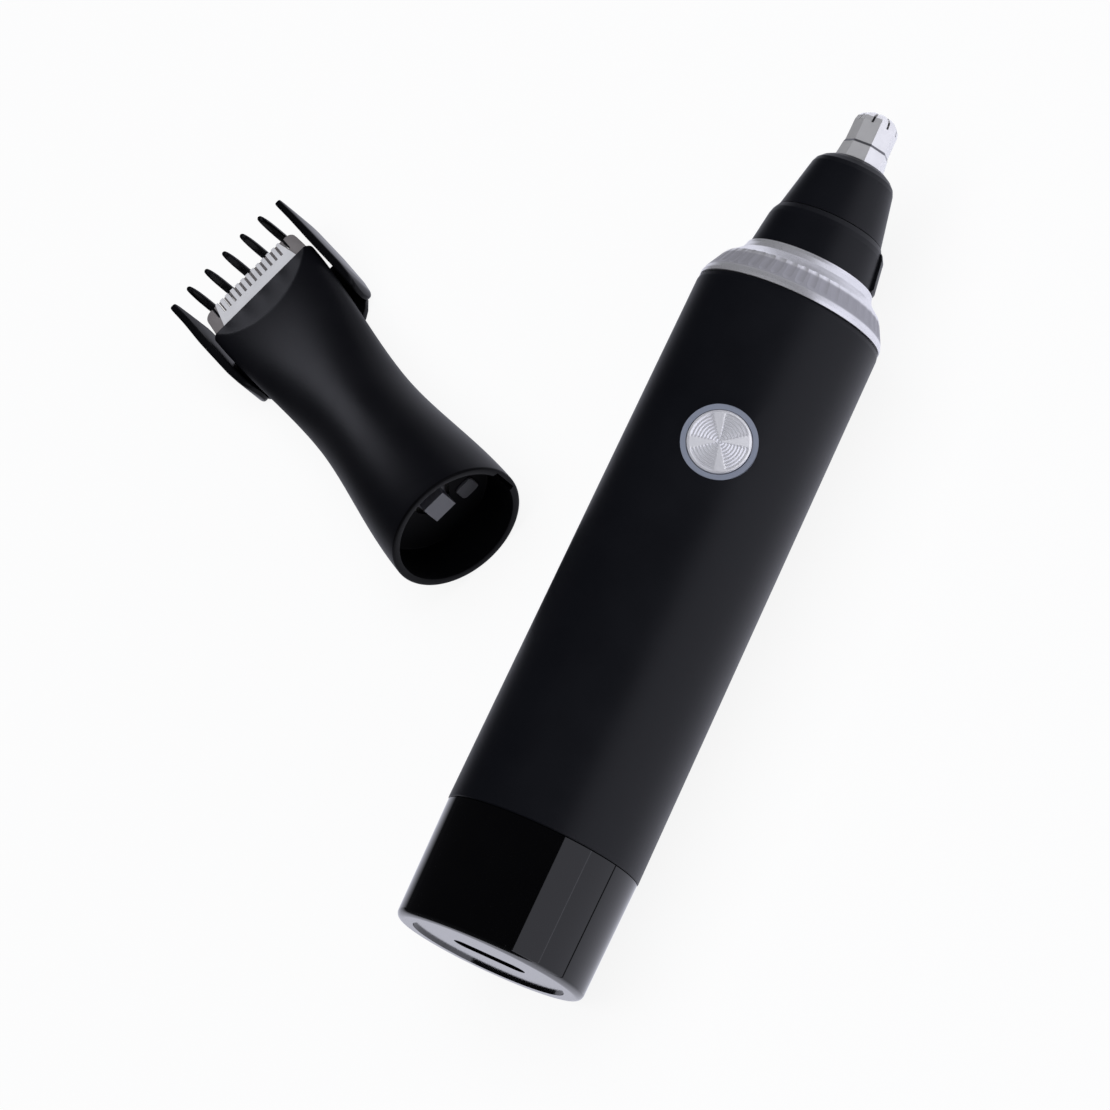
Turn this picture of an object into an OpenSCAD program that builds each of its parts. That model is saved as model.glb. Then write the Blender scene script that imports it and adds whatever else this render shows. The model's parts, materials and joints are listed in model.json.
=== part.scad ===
// Nose hair trimmer: a round rechargeable handle with a rotary nose head on its neck,
// and a second head with a straight blade and a comb lying beside it on the same table.
// Millimetres. The table is z = 0, the handle lies along +Y with its tip at the far end.

/* [Handle] */
// Largest diameter of the matte body, at the seam with the base cap
body_d = 29; // [28.4:0.1:29.8]
// Radius the matte body loses between the seam and the trim ring
body_taper = 0.56; // [0.4:0.02:0.7]
// Length of the gloss base cap
cap_len = 18; // [17:0.5:19]
// Length of the matte body
body_len = 83; // [82:0.5:85]
// Wall of the matte body at the seam
wall = 1.85; // [1.7:0.05:1.95]
// Rounding radius of the base cap's lower edge
edge_r = 1; // [0.7:0.1:1.3]
// Diameter of the shallow recess in the base
recess_d = 23; // [22:0.2:24]
// Width of the charging slot in the base
slot_w = 10.8; // [10.4:0.1:11.2]
// Height of the charging slot in the base
slot_h = 3.8; // [3.6:0.1:4.4]

/* [Button] */
// Distance of the button centre below the top of the matte body
button_below = 24; // [23.5:0.25:24.5]
// Outer diameter of the bezel round the button
bezel_d = 10.9; // [10.7:0.1:11.3]
// Diameter of the button disc
button_d = 9.1; // [8.9:0.1:9.2]
// Travel of the button
button_travel = 0.5; // [0.4:0.05:0.6]

/* [Ring and neck] */
// Height of the trim ring
ring_h = 7.1; // [6.9:0.1:7.4]
// Number of flutes round the trim ring
flutes = 45; // [40:1:48]
// Radius of the neck where it leaves the trim ring
neck_r = 9.4; // [9.3:0.05:9.5]
// Height of the neck above the trim ring
neck_h = 6.8; // [6.5:0.1:7.1]
// Height of the key pad above the neck's surface
key_h = 0.4; // [0.3:0.05:0.5]

/* [Nose head] */
// Height of the black cone
cone_h = 10; // [9.8:0.1:10.4]
// Height of the steel tip above the cone
tip_h = 7.9; // [7.6:0.1:8.3]
// Corner radius of the octagonal steel tip
tip_r = 3.8; // [3.75:0.05:3.9]
// Width of the slits in the steel tip
slit_w = 0.36; // [0.3:0.02:0.44]

/* [Trimmer head] */
// Length from the socket's mouth to the front edge of the shells
head_len = 62; // [61:0.5:63]
// Outer radius of the socket
socket_r = 10.6; // [10.5:0.05:10.8]
// Half width of the waist
waist_a = 8.4; // [8.3:0.05:8.6]
// Half width of the front edge
end_a = 10.3; // [10.2:0.05:10.4]
// Height of the front end's arch above its widest line
end_b = 3.1; // [3:0.05:3.2]
// Number of gaps between the teeth of the fixed blade
teeth = 15; // [13:1:17]
// Stroke of the moving blade to each side
stroke = 1; // [0.8:0.05:1.1]

/* [Comb] */
// Pitch of the comb's fingers
finger_pitch = 3.8; // [3.6:0.05:3.9]
// Width of one finger
finger_w = 1.2; // [1:0.1:1.4]
// Reach of the comb beyond the front edge
arm_reach = 8.5; // [8.4:0.1:9]
// Height of the comb's tips above its underside
tip_up = 13.1; // [12.5:0.1:13.5]

/* [Inside] */
// Diameter of the battery cell
cell_d = 14; // [13.6:0.1:14.2]
// Clearance between the motor can and the main board
motor_gap = 0.3; // [0.2:0.05:0.5]
// Thickness of the circuit boards
board_t = 1.2; // [1:0.1:1.3]

/* [Placement] */
// Turn of the button from straight up towards the viewer
button_roll = 31; // [26:1:36]
// Turn of the trimmer head from the handle's direction
head_yaw = 64.2; // [60:0.2:68]
// Distance of the socket from the handle's axis
head_dx = 40.8; // [40:0.2:44]
// Distance of the socket from the handle's base, along the handle
head_dy = 58.4; // [56:0.2:61]

/* [Hidden] */
$fn = 96;
// overlap that joins two solids of one piece, and overshoot of cuts
tiny = 0.01;
past = 1;
// play of a part that slides or turns in another
play = 0.05;
// gap between separate pieces
gap = 0.15;

// handle: radii, and stations measured from its base
body_r = body_d / 2;
shell_in_r = body_r - wall;
top_r = body_r - body_taper;
w_top = cap_len + body_len;
w_ring = w_top + ring_h;
w_neck = w_ring + neck_h;
w_cone = w_neck + gap + cone_h;
total_len = w_cone + tip_h;
w_button = w_top - button_below;
seam_c = 0.15;
// rounding at the top of the matte body: two steps in, two steps down
rim_in1 = 0.12;
rim_in2 = 0.4;
rim_h1 = 0.35;
rim_h2 = 0.9;
// base cap
cap_step = 0.1;
cap_draft = 0.25;
cap_r1 = body_r - cap_step;
cap_r0 = cap_r1 - cap_draft;
cap_wall = 0.55;
cap_in_r = shell_in_r - cap_wall;
cap_floor = 2.4;
recess_t = 0.4;
lip_h = 3;
lip_t = 0.9;
// charging socket and its board
usb_w = 8.94;
usb_h = 3.16;
usb_t = 0.3;
usb_deep = 0.2;
w_usb = cap_floor + usb_deep;
tongue_w = 6.7;
tongue_t = 0.7;
tongue_in = 1.2;
plug_t = 2.4;
w_board = 9.6;
post_in = 3.2;
post_x = cap_in_r - post_in;
post_r = 2.2;
board_gap = 0.4;
charge_r = cap_in_r - board_gap;
board_screw_r = 0.8;
board_screw_len = 4.5;
board_head_r = 1.5;
board_head_h = 1;
board_hole_r = 0.9;
pilot_deep = 4;
// screw heads: top width, and the cross slot's length, width and depth, all as shares of the head
head_share = 0.8;
cross_len = 1.1;
cross_w = 0.24;
cross_deep = 0.5;
// button, its flange and stem, and the switch below
flange_deep = 1.4;
flange_t = 0.4;
flange_in = 0.5;
skirt_deep = 0.6;
cap_edge = 0.1;
stem_r = 1.4;
bezel_deep = 0.9;
bezel_play = 0.12;
bezel_in = 0.25;
proud = 0.05;
face_y = top_r + (body_taper * button_below / body_len) + proud;
bezel_y = face_y - bezel_in;
switch_a = 3;
switch_h = 1.4;
switch_floor = 0.2;
plunger_r = 1.5;
plunger_h = 0.6;
plunger_in = 0.4;
stem_y = shell_in_r - flange_deep - play;
lamp_w = 1.6;
lamp_h = 0.7;
lamp_l = 0.8;
// main board, a flat plate under the button
pcb_top = stem_y - plunger_h - switch_h;
pcb_in = pcb_top - board_t;
pcb_side = 6.05;
pcb_a = shell_in_r - pcb_side;
w_pcb = w_board + board_t;
pcb_over = 4.6;
w_pcb_end = w_button + pcb_over;
// battery and its carrier
cell_r = cell_d / 2;
cell_back = 1.05;
cell_y = shell_in_r - cell_r - cell_back;
bulk_gap = 0.2;
w_bulk = cap_len + lip_h + bulk_gap;
bulk_t = 2;
w_cell = w_bulk + bulk_t;
cell_clear = 3;
w_cell_top = w_button - bezel_d / 2 - cell_clear;
bulk_rim = 2;
bulk_slot = 5.2;
rail_gap = 1.5;
rail_t = 1.6;
rail_w = 5;
rail_y = -2;
nub_r = 2.8;
nub_h = 0.8;
tab_t = 0.3;
tab_w = 3;
tab_up = 7.1;
tab_over = 2;
lead_r = 0.45;
lead_short = 4.6;
// motor, held under the web of the neck
motor_r = pcb_in - motor_gap;
can_t = 0.8;
can_end = 1;
web_deep = 2.5;
w_web = w_top - web_deep;
web_t = 3;
motor_len = 19.5;
w_can = w_web - motor_len;
bell_t = 2.2;
bell_c = 0.4;
bell_in = 0.6;
shaft_r = 0.75;
boss_r = 3;
boss_h = 1.5;
magnet_t = 1;
magnet_in = 3;
magnet_deg = 110;
rotor_gap = 0.5;
rotor_in = 3.5;
rotor_poles = 3;
pole_r = 2.4;
pole_gap = 1.4;
terminal_x = 4.5;
terminal_w = 1.8;
terminal_t = 0.4;
terminal_l = 2.6;
terminal_lead = 1.6;
lead_end = 0.2;
motor_screw_r = 1;
motor_screw_side = 1.7;
motor_screw_x = boss_r + motor_screw_side;
motor_head_r = 1.6;
motor_head_h = 1.1;
// drive between the handle and either head: a square on the head's shaft in a cup on the motor's shaft
drive_r = 2.2;
drive_sq = 3.8;
drive_up = 1.6;
cup_r = 3.7;
cup_down = 0.3;
cup_deep = 3.2;
cup_floor_t = 2;
shaft_short = 0.5;
w_drive = w_web + web_t + drive_up;
w_cup = w_neck - cup_down;
w_cup_floor = w_cup - cup_deep;
cup_sq = drive_sq + 2 * gap;
hub_r = 2.3;
// trim ring: share of the way in to the neck, share of the way up
ring_step = 0.06;
ring_r = top_r - ring_step;
ring_shape = [[0, 0], [0, 0.07], [0.0625, 0.183], [0.328, 0.507], [0.42, 0.6], [0.62, 0.704],
              [0.82, 0.817], [0.906, 0.93], [0.933, 1], [1, 1], [1, 0]];
flute_r = 1.8;
flute_deep = 0.13;
flute_start = 0.7;
flute_len = 2.8;
flute_foot = [ring_r - (ring_r - neck_r) * ring_shape[2][0], w_top + ring_h * ring_shape[2][1]];
flute_head = [ring_r - (ring_r - neck_r) * ring_shape[3][0], w_top + ring_h * ring_shape[3][1]];
flute_tilt = atan((flute_foot[0] - flute_head[0]) / (flute_head[1] - flute_foot[1]));
flute_out = flute_r - flute_deep;
// neck: steps in from its foot and down from its mouth
bore_r = 6.45;
neck_in = [0.68, 0.9, 1.32];
neck_down = [1.6, 0.8, 0];
key_deg = 26;
key_foot = 0.3;
key_c = 0.5;
key_root = 1.4;
// nose cone: steps in from its foot radius and down from its top, and its skirt in the neck's bore
cone_step = 1.45;
cone_r = neck_r - cone_step;
cone_in = [0.12, 1.64, 1.95, 2.65];
cone_down = [9.45, 2.15, 1.42, 0.7];
cone_lip = 0.55;
cone_lip_h = 0.12;
cone_lip_in = 0.3;
skirt_r = bore_r - play;
skirt_in_r = 5.3;
skirt_len = 6.5;
skirt_c = 0.4;
skirt_c_in = 0.3;
throat_r = 3.3;
throat_h = 3.6;
// bush and shaft of the cutter
bush_up = 1.4;
nose_bush_t = 2.4;
hub_up = 0.5;
hub_len = 4.6;
sq_down = 2.8;
collar_up = 4;
collar_t = 0.9;
collar_w = 0.3;
cutter_shaft_r = 0.9;
cutter_shaft_up = 5;
cutter_shaft_in = 3;
cutter_shaft_len = total_len - cutter_shaft_in - w_neck - cutter_shaft_up;
// steel tip: height and inset of each band of the octagon, from its foot to its end
guard_foot_h = 4.5;
guard_foot = w_cone - guard_foot_h;
guard_side = 0.3;
guard_in_r = 2.75;
guard_top = 0.75;
guard_turn = 11.5;
guard_sides = 8;
guard_low = 2.5;
guard_band = 0.35;
guard_flare = 0.31;
guard_in = [0.44, 0.46, 0.64, 1.1, 1.95];
guard_down = [1.7, 1, 0.45];
slit_in = 1.3;
slit_deep = 1.9;
// spring on the cutter shaft
wire_r = 0.25;
coil_r = 1.5;
coil_turns = 4.5;
coil_up = 5.1;
coil_lo = w_neck + coil_up + wire_r;
cutter_up = 2.6;
coil_hi = w_cone + cutter_up - wire_r;
coil_gap = (coil_hi - coil_lo) / coil_turns - 2 * wire_r;
wire_sides = 6;
curl_rings = 8;
coil_rings = curl_rings * coil_turns;
// cutter inside the tip
cutter_r = 2.6;
cutter_short = 3.7;
cutter_web = 0.35;
cutter_floor = 1;
cutter_wings = 4;

// trimmer head: its middle line drops towards the blades
drop = 3.3;
end_low = 5.9;
waist_v = 29.5;
end_n = 0.2;
ring_n = 36;
loft_n = 18;
hollow_n = 24;
hollow_steps = 8;
skin = 1.6;
socket_wall = 1.2;
socket_bore_r = socket_r - socket_wall;
socket_depth = 7.4;
floor_t = 2;
floor_gap = 0.7;
nose_t = 5;
key_slot_w = 4.8;
key_slot_in = 1;
key_slot_room = 0.1;
key_slot_deep = key_h + key_slot_room;
// blades: heights of their faces, and the slot in the shells
blade_rise = 0.85;
blade_top = -drop + blade_rise;
move_t = 0.6;
fixed_t = 0.75;
move_lo = blade_top - move_t;
fixed_hi = move_lo - gap;
fixed_lo = fixed_hi - fixed_t;
lip_gap = 0.2;
lip_t_front = 0.35;
lip_lo = blade_top + lip_gap;
lip_hi = lip_lo + lip_t_front;
facet_deg = 18;
split_up = 0.25;
split_deg = atan((-fixed_lo - split_up) / head_len);
slot_side = 2.5;
slot_len = 18;
fixed_side = 0.6;
fixed_front = 0.9;
fixed_reach = 5.2;
fixed_tooth = 2.2;
fixed_corner = 1.4;
fixed_tail = 17;
fixed_tail_side = 2.7;
move_side = 2.5;
move_front = 3.5;
move_reach = 4.7;
move_tooth = 2.4;
move_corner = 0.2;
move_front_gap = 0.1;
move_fewer = 3;
move_body_a = 5.2;
move_body_l = 9;
move_tail_a = 3;
move_tail_l = 15.2;
tooth_at = 0.28;
tooth_gap = 0.4;
blade_screw_x = 5.8;
blade_screw_l = 13;
blade_screw_r = 0.7;
blade_screw_in = 2;
blade_head_r = 1.3;
blade_head_h = 0.7;
blade_hole_r = 0.8;
blade_boss_r = 1.9;
spring_x = 4;
spring_w = 1.6;
spring_t = 0.3;
spring_l = 8.6;
spring_foot = 1;
spring_back = 16.8;
spring_up = 0.1;
// crank that drives the blade, its bush behind the socket's floor, and the yoke
crank_e = 1;
crank_v = 27;
crank_t = 1.5;
crank_r = 2;
crank_shaft_r = 1.2;
pin_r = 0.6;
pin_l = 3.4;
crank_hub_gap = 0.2;
crank_sq_out = 2.4;
crank_hub_l = 6;
bush_gap = 0.1;
bush_t = 2.6;
bush_wall = 1.1;
bush_v = socket_depth + floor_t + bush_gap;
yoke_gap = 0.3;
yoke_half = crank_e + pin_r + stroke + yoke_gap;
yoke_side = 1;
yoke_t = 2.4;
yoke_back = 1.7;
yoke_v = crank_v + yoke_back;
yoke_arm_a = 1.8;
yoke_arm_t = 0.8;
yoke_end = 12.6;
yoke_over = 0.2;
// comb: outlines as distance ahead of the shells' front edge and height above the comb's underside
comb_gap = 0.1;
comb_in = end_a + comb_gap;
comb_t = 1.6;
comb_lo = -socket_r;
comb_under = 0.3;
comb_hi = -drop - end_low - comb_under;
comb_plate = comb_hi - comb_lo;
comb_len = 12;
comb_corner = 2.6;
comb_side_gap = 0.35;
comb_plate_a = comb_in + comb_side_gap + tiny;
fingers = 5;
finger_shape = [[-4, 0], [arm_reach - 1.9, 0], [arm_reach - 1, 0.5], [arm_reach - 0.6, 1.6],
                [arm_reach - 0.6, tip_up - 5.1], [arm_reach - 0.9, tip_up - 2.1],
                [arm_reach - 1.3, tip_up - 0.4], [arm_reach - 1.6, tip_up], [arm_reach - 2, tip_up + 0.1],
                [arm_reach - 2.3, tip_up - 0.2], [arm_reach - 2.4, tip_up - 0.9], [arm_reach - 2.5, 9],
                [arm_reach - 2.5, 5], [arm_reach - 2.9, 3], [arm_reach - 3.9, 1.6],
                [arm_reach - 5.5, comb_plate], [-4, comb_plate]];
plate_shape = [[-11.4, 0.5], [-10.4, 0], [arm_reach - 1.1, 0], [arm_reach - 0.3, 0.5], [arm_reach, 1.4],
               [arm_reach - 0.3, 5], [arm_reach - 0.6, tip_up - 4.6], [arm_reach - 1, tip_up - 2.1],
               [arm_reach - 1.5, tip_up - 0.5], [arm_reach - 2, tip_up], [arm_reach - 2.6, tip_up - 0.1],
               [arm_reach - 3.1, tip_up - 0.6], [arm_reach - 4.5, tip_up - 1.8], [2.5, 10.6], [0, 9.5],
               [-2, 8.1], [-4, 7.2], [-7, 6.6], [-10, 6], [-11.7, 4.8], [-12.2, 3.2], [-12, 1.6]];
// a side plate seen from above: distance out from its inmost point, distance ahead of the front edge
plate_taper = 0.035;
plate_end = arm_reach + 1;
plate_plan = [[0, -12.5], [comb_side_gap, -9], [comb_side_gap, plate_end],
              [comb_t - plate_taper * plate_end, plate_end], [comb_t, 0], [comb_t, -7], [comb_t - 0.4, -9.6],
              [comb_t - 0.9, -11.4], [comb_t - 1.2, -12.5]];
// placement of the whole on the table, its box centred on the origin
arm_u = comb_in + comb_t - plate_taper * arm_reach;
arm_x = -head_dx - arm_u * cos(head_yaw) - (head_len + arm_reach) * sin(head_yaw);
handle_x = -(body_r + arm_x) / 2;
// largest size of anything here, for cuts that reach past it
far = 50;

// places handle geometry: local z runs from the base to the tip, the button faces local -y
module in_handle() {
    translate([handle_x, -total_len / 2, body_r])
        rotate([-90, 0, 0])
            rotate([0, 0, button_roll])
                children();
}

// places trimmer head geometry: local y runs from the socket to the blades, local z is up
module in_head() {
    translate([handle_x - head_dx, head_dy - total_len / 2, socket_r])
        rotate([0, 0, head_yaw])
            children();
}

// a bar with rounded ends, long side along x, standing on z = 0
module stadium(w, h, len) {
    translate([-(w - h) / 2, -h / 2, 0])
        cube([w - h, h, len]);
    for (side = [-1, 1])
        translate([side * (w - h) / 2, 0, 0])
            cylinder(d = h, h = len);
}

// a cylinder lying along +y
module rod_y(r, len) {
    rotate([-90, 0, 0])
        cylinder(r = r, h = len);
}

// a pan head screw, head underside on z = 0 and shank downwards
module pan_screw(r, len, head_r, head_h) {
    difference() {
        union() {
            translate([0, 0, -len])
                cylinder(r = r, h = len);
            cylinder(r1 = head_r, r2 = head_r * head_share, h = head_h, $fn = 48);
        }
        for (turn = [0, 90])
            rotate([0, 0, turn])
                translate([-head_r * cross_len / 2, -head_r * cross_w / 2, head_h * (1 - cross_deep)])
                    cube([head_r * cross_len, head_r * cross_w, head_h]);
    }
}

// Handle, outside

module base_cap() color([0.03, 0.03, 0.035]) in_handle() difference() {
    union() {
        rotate_extrude() {
            polygon([[0, 0], [cap_r0 - edge_r, 0], [cap_r0, edge_r], [cap_r1, cap_len - seam_c],
                     [cap_r1 - seam_c, cap_len], [shell_in_r, cap_len], [shell_in_r, cap_len + lip_h],
                     [0, cap_len + lip_h]]);
            translate([cap_r0 - edge_r, edge_r])
                circle(r = edge_r);
        }
    }
    difference() {
        translate([0, 0, cap_floor])
            cylinder(r = cap_in_r, h = cap_len);
        for (side = [-1, 1])
            translate([side * post_x, 0, 0])
                cylinder(r = post_r, h = w_board);
    }
    translate([0, 0, cap_len])
        cylinder(r = shell_in_r - lip_t, h = cap_len);
    translate([0, 0, -tiny])
        cylinder(d = recess_d, h = recess_t + tiny);
    translate([0, 0, -tiny])
        stadium(slot_w, slot_h, cap_floor + 2 * tiny);
    for (side = [-1, 1])
        translate([side * post_x, 0, w_board - pilot_deep])
            cylinder(r = board_screw_r, h = pilot_deep + past);
}

module handle_shell() color([0.05, 0.05, 0.055]) in_handle() difference() {
    rotate_extrude()
        polygon([[shell_in_r, cap_len], [body_r - seam_c, cap_len], [body_r, cap_len + seam_c],
                 [top_r, w_top - rim_h2], [top_r - rim_in1, w_top - rim_h1], [top_r - rim_in2, w_top],
                 [shell_in_r, w_top]]);
    translate([0, 0, w_button])
        rotate([90, 0, 0]) {
            cylinder(d = bezel_d, h = 2 * body_r);
        }
}

// outline of the trim ring, flutes excluded
module ring_outline() {
    polygon([for (p = ring_shape) [ring_r - (ring_r - neck_r) * p[0], w_top + ring_h * p[1]]]);
}

module trim_ring() color([0.75, 0.76, 0.78]) in_handle() difference() {
    rotate_extrude()
        ring_outline();
    for (i = [0 : flutes - 1])
        rotate([0, 0, 360 * i / flutes])
            translate([flute_foot[0], 0, flute_foot[1]])
                rotate([0, -flute_tilt, 0])
                    translate([flute_out, 0, flute_start]) {
                        cylinder(r = flute_r, h = flute_len, $fn = 96);
                        sphere(r = flute_r, $fn = 96);
                    }
}

module neck() color([0.04, 0.04, 0.045]) in_handle() difference() {
    union() {
        rotate_extrude()
            polygon([[boss_r, w_web], [shell_in_r, w_web], [shell_in_r, w_top], [neck_r, w_top],
                     [neck_r, w_ring], [neck_r - neck_in[0], w_neck - neck_down[0]],
                     [neck_r - neck_in[1], w_neck - neck_down[1]],
                     [neck_r - neck_in[2], w_neck - neck_down[2]], [bore_r, w_neck],
                     [bore_r, w_web + web_t], [boss_r, w_web + web_t]]);
        rotate([0, 0, -key_deg / 2])
            rotate_extrude(angle = key_deg)
                polygon([[neck_r - key_root, w_ring + key_foot], [neck_r + key_h / 2, w_ring + key_foot],
                         [neck_r + key_h, w_ring + key_foot + key_c],
                         [neck_r - neck_in[0] + key_h, w_neck - neck_down[0]],
                         [neck_r - neck_in[1] + key_h / 2, w_neck - neck_down[1]],
                         [neck_r - key_root, w_neck - neck_down[1]]]);
    }
    for (side = [-1, 1])
        translate([side * motor_screw_x, 0, w_web - tiny])
            cylinder(r = motor_screw_r + play, h = web_t + past, $fn = 32);
}

module bezel() color([0.52, 0.55, 0.62]) in_handle() translate([0, 0, w_button]) rotate([90, 0, 0])
    difference() {
        translate([0, 0, shell_in_r - bezel_deep])
            cylinder(d = bezel_d, h = bezel_y - shell_in_r + bezel_deep);
        translate([0, 0, shell_in_r - bezel_deep - past])
            cylinder(d = button_d + 2 * bezel_play, h = body_r);
    }

// Handle, inside

// bulkhead that carries one end of the cell and the edges of the main board
module bulkhead(w) {
    difference() {
        translate([0, 0, w])
            cylinder(r = shell_in_r, h = bulk_t);
        translate([-pcb_a, -pcb_top, w - past])
            cube([2 * pcb_a, board_t, bulk_t + 2 * past]);
        translate([-bulk_slot / 2, -pcb_in - tiny, w - past])
            cube([bulk_slot, pcb_in + cell_y, bulk_t + 2 * past]);
        translate([0, cell_y, w - past])
            cylinder(r = cell_r - bulk_rim, h = bulk_t + 2 * past);
    }
}

module chassis_frame() color([0.75, 0.75, 0.72]) in_handle() {
    bulkhead(w_bulk);
    bulkhead(w_cell_top);
    for (side = [-1, 1])
        translate([side * (cell_r + rail_gap + rail_t / 2) - rail_t / 2, rail_y, w_bulk])
            cube([rail_t, rail_w, w_cell_top - w_bulk + bulk_t]);
}

module battery_cell() color([0.15, 0.4, 0.3]) in_handle() translate([0, cell_y, 0]) {
    translate([0, 0, w_cell])
        cylinder(r = cell_r, h = w_cell_top - w_cell);
    translate([0, 0, w_cell_top - tiny])
        cylinder(r = nub_r, h = nub_h);
}

module battery_tabs() color([0.7, 0.7, 0.68]) in_handle() {
    for (w = [w_cell - tab_t, w_cell_top + nub_h - tiny])
        translate([-tab_w / 2, cell_y - tab_up, w])
            cube([tab_w, tab_up + tab_over, tab_t]);
}

module battery_leads() color([0.7, 0.1, 0.1]) in_handle()
    for (w = [w_cell - tab_t - lead_r, w_cell_top + nub_h + tab_t - tiny + lead_r])
        translate([0, -pcb_in, w])
            rod_y(lead_r, pcb_in + cell_y - lead_short);

module main_board() color([0.1, 0.35, 0.2]) in_handle()
    translate([-pcb_a, -pcb_top, w_pcb])
        cube([2 * pcb_a, board_t, w_pcb_end - w_pcb]);

module switch_body() color([0.6, 0.6, 0.6]) in_handle() difference() {
    translate([-switch_a, -pcb_top - switch_h, w_button - switch_a])
        cube([2 * switch_a, switch_h, 2 * switch_a]);
    translate([0, -pcb_top - switch_floor, w_button])
        rotate([90, 0, 0])
            cylinder(r = plunger_r + play, h = switch_h + past, $fn = 48);
}

module status_led() color([0.8, 0.85, 1]) in_handle()
    translate([-lamp_w / 2, -pcb_top - lamp_h, w_button - switch_a - 2 * lamp_l])
        cube([lamp_w, lamp_h, lamp_l]);

module charge_board() color([0.1, 0.35, 0.2]) in_handle() difference() {
    translate([0, 0, w_board])
        cylinder(r = charge_r, h = board_t);
    for (side = [-1, 1])
        translate([side * post_x, 0, w_board - past])
            cylinder(r = board_hole_r, h = board_t + 2 * past, $fn = 32);
}

module board_screws() color([0.75, 0.75, 0.75]) in_handle()
    for (side = [-1, 1])
        translate([side * post_x, 0, w_board + board_t])
            pan_screw(board_screw_r, board_screw_len, board_head_r, board_head_h);

module charge_socket() color([0.75, 0.75, 0.76]) in_handle() difference() {
    translate([0, 0, w_usb])
        stadium(usb_w, usb_h, w_board - w_usb);
    translate([0, 0, w_usb - past])
        stadium(usb_w - 2 * usb_t, usb_h - 2 * usb_t, w_board);
}

module charge_tongue() color([0.05, 0.05, 0.05]) in_handle() {
    translate([-tongue_w / 2, -tongue_t / 2, w_usb + tongue_in])
        cube([tongue_w, tongue_t, w_board - w_usb - tongue_in]);
    translate([0, 0, w_board - plug_t])
        stadium(usb_w - 2 * usb_t, usb_h - 2 * usb_t, plug_t);
}

module motor_can() color([0.7, 0.7, 0.7]) in_handle() rotate_extrude()
    polygon([[motor_r - can_t, w_can], [motor_r, w_can], [motor_r, w_web], [boss_r, w_web],
             [boss_r, w_web + boss_h], [shaft_r + play, w_web + boss_h], [shaft_r + play, w_web - can_end],
             [motor_r - can_t, w_web - can_end]]);

module motor_endbell() color([0.9, 0.9, 0.88]) in_handle() rotate_extrude()
    polygon([[shaft_r + play, w_can - bell_t], [motor_r - bell_c, w_can - bell_t],
             [motor_r, w_can - bell_t + bell_c], [motor_r, w_can], [motor_r - can_t, w_can],
             [motor_r - can_t, w_can + bell_in], [shaft_r + play, w_can + bell_in]]);

module motor_magnets() color([0.2, 0.2, 0.2]) in_handle()
    for (turn = [0, 180])
        rotate([0, 0, turn - magnet_deg / 2])
            rotate_extrude(angle = magnet_deg)
                translate([motor_r - can_t - magnet_t, w_can + magnet_in])
                    square([magnet_t, motor_len - 2 * magnet_in]);

module motor_terminals() color([0.8, 0.6, 0.3]) in_handle()
    for (side = [-1, 1])
        translate([side * terminal_x - terminal_w / 2, -terminal_t / 2, w_can - bell_t - terminal_l])
            cube([terminal_w, terminal_t, terminal_l]);

module motor_leads() color([0.1, 0.1, 0.1]) in_handle()
    for (side = [-1, 1])
        translate([side * terminal_x, -pcb_in, w_can - bell_t - terminal_lead])
            rod_y(lead_r, pcb_in - lead_end);

module motor_screws() color([0.75, 0.75, 0.75]) in_handle()
    for (side = [-1, 1])
        translate([side * motor_screw_x, 0, w_web + web_t])
            pan_screw(motor_screw_r, web_t, motor_head_r, motor_head_h);

// Button and switch

module button_cap() color([0.75, 0.75, 0.77]) in_handle() translate([0, 0, w_button]) rotate([90, 0, 0]) {
    translate([0, 0, shell_in_r - flange_deep + flange_t - tiny])
        cylinder(d = button_d, h = face_y - cap_edge - shell_in_r + flange_deep - flange_t + tiny);
    translate([0, 0, face_y - cap_edge - tiny])
        cylinder(d1 = button_d, d2 = button_d - 2 * cap_edge, h = cap_edge + tiny);
    translate([0, 0, shell_in_r - flange_deep])
        cylinder(d = bezel_d - flange_in, h = flange_t);
    translate([0, 0, stem_y + play])
        cylinder(r = stem_r, h = flange_deep, $fn = 48);
}

module switch_plunger() color([0.1, 0.1, 0.1]) in_handle()
    translate([0, -pcb_top - switch_h + plunger_in, w_button])
        rotate([90, 0, 0])
            cylinder(r = plunger_r, h = plunger_h + plunger_in, $fn = 48);

// Motor rotor and drive

module motor_shaft() color([0.8, 0.8, 0.8]) in_handle()
    translate([0, 0, w_can - bell_t + lead_end])
        cylinder(r = shaft_r, h = w_cup_floor - shaft_short - w_can + bell_t - lead_end, $fn = 48);

module motor_rotor() color([0.6, 0.35, 0.2]) in_handle() difference() {
    translate([0, 0, w_can + rotor_in])
        cylinder(r = motor_r - can_t - magnet_t - rotor_gap, h = motor_len - 2 * rotor_in);
    translate([0, 0, w_can])
        cylinder(r = shaft_r, h = motor_len, $fn = 48);
    for (i = [0 : rotor_poles - 1])
        rotate([0, 0, 360 * i / rotor_poles])
            translate([pole_r, -pole_gap / 2, w_can])
                cube([motor_r, pole_gap, motor_len]);
}

module drive_coupling() color([0.9, 0.9, 0.86]) in_handle() difference() {
    union() {
        translate([0, 0, w_drive])
            cylinder(r = drive_r, h = w_cup_floor - w_drive);
        translate([0, 0, w_cup_floor - cup_floor_t])
            cylinder(r = cup_r, h = cup_deep + cup_floor_t);
    }
    translate([-cup_sq / 2, -cup_sq / 2, w_cup_floor])
        cube([cup_sq, cup_sq, cup_deep + past]);
    translate([0, 0, w_drive - past])
        cylinder(r = shaft_r, h = w_cup_floor - shaft_short - w_drive + past, $fn = 48);
}

// Nose head

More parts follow.
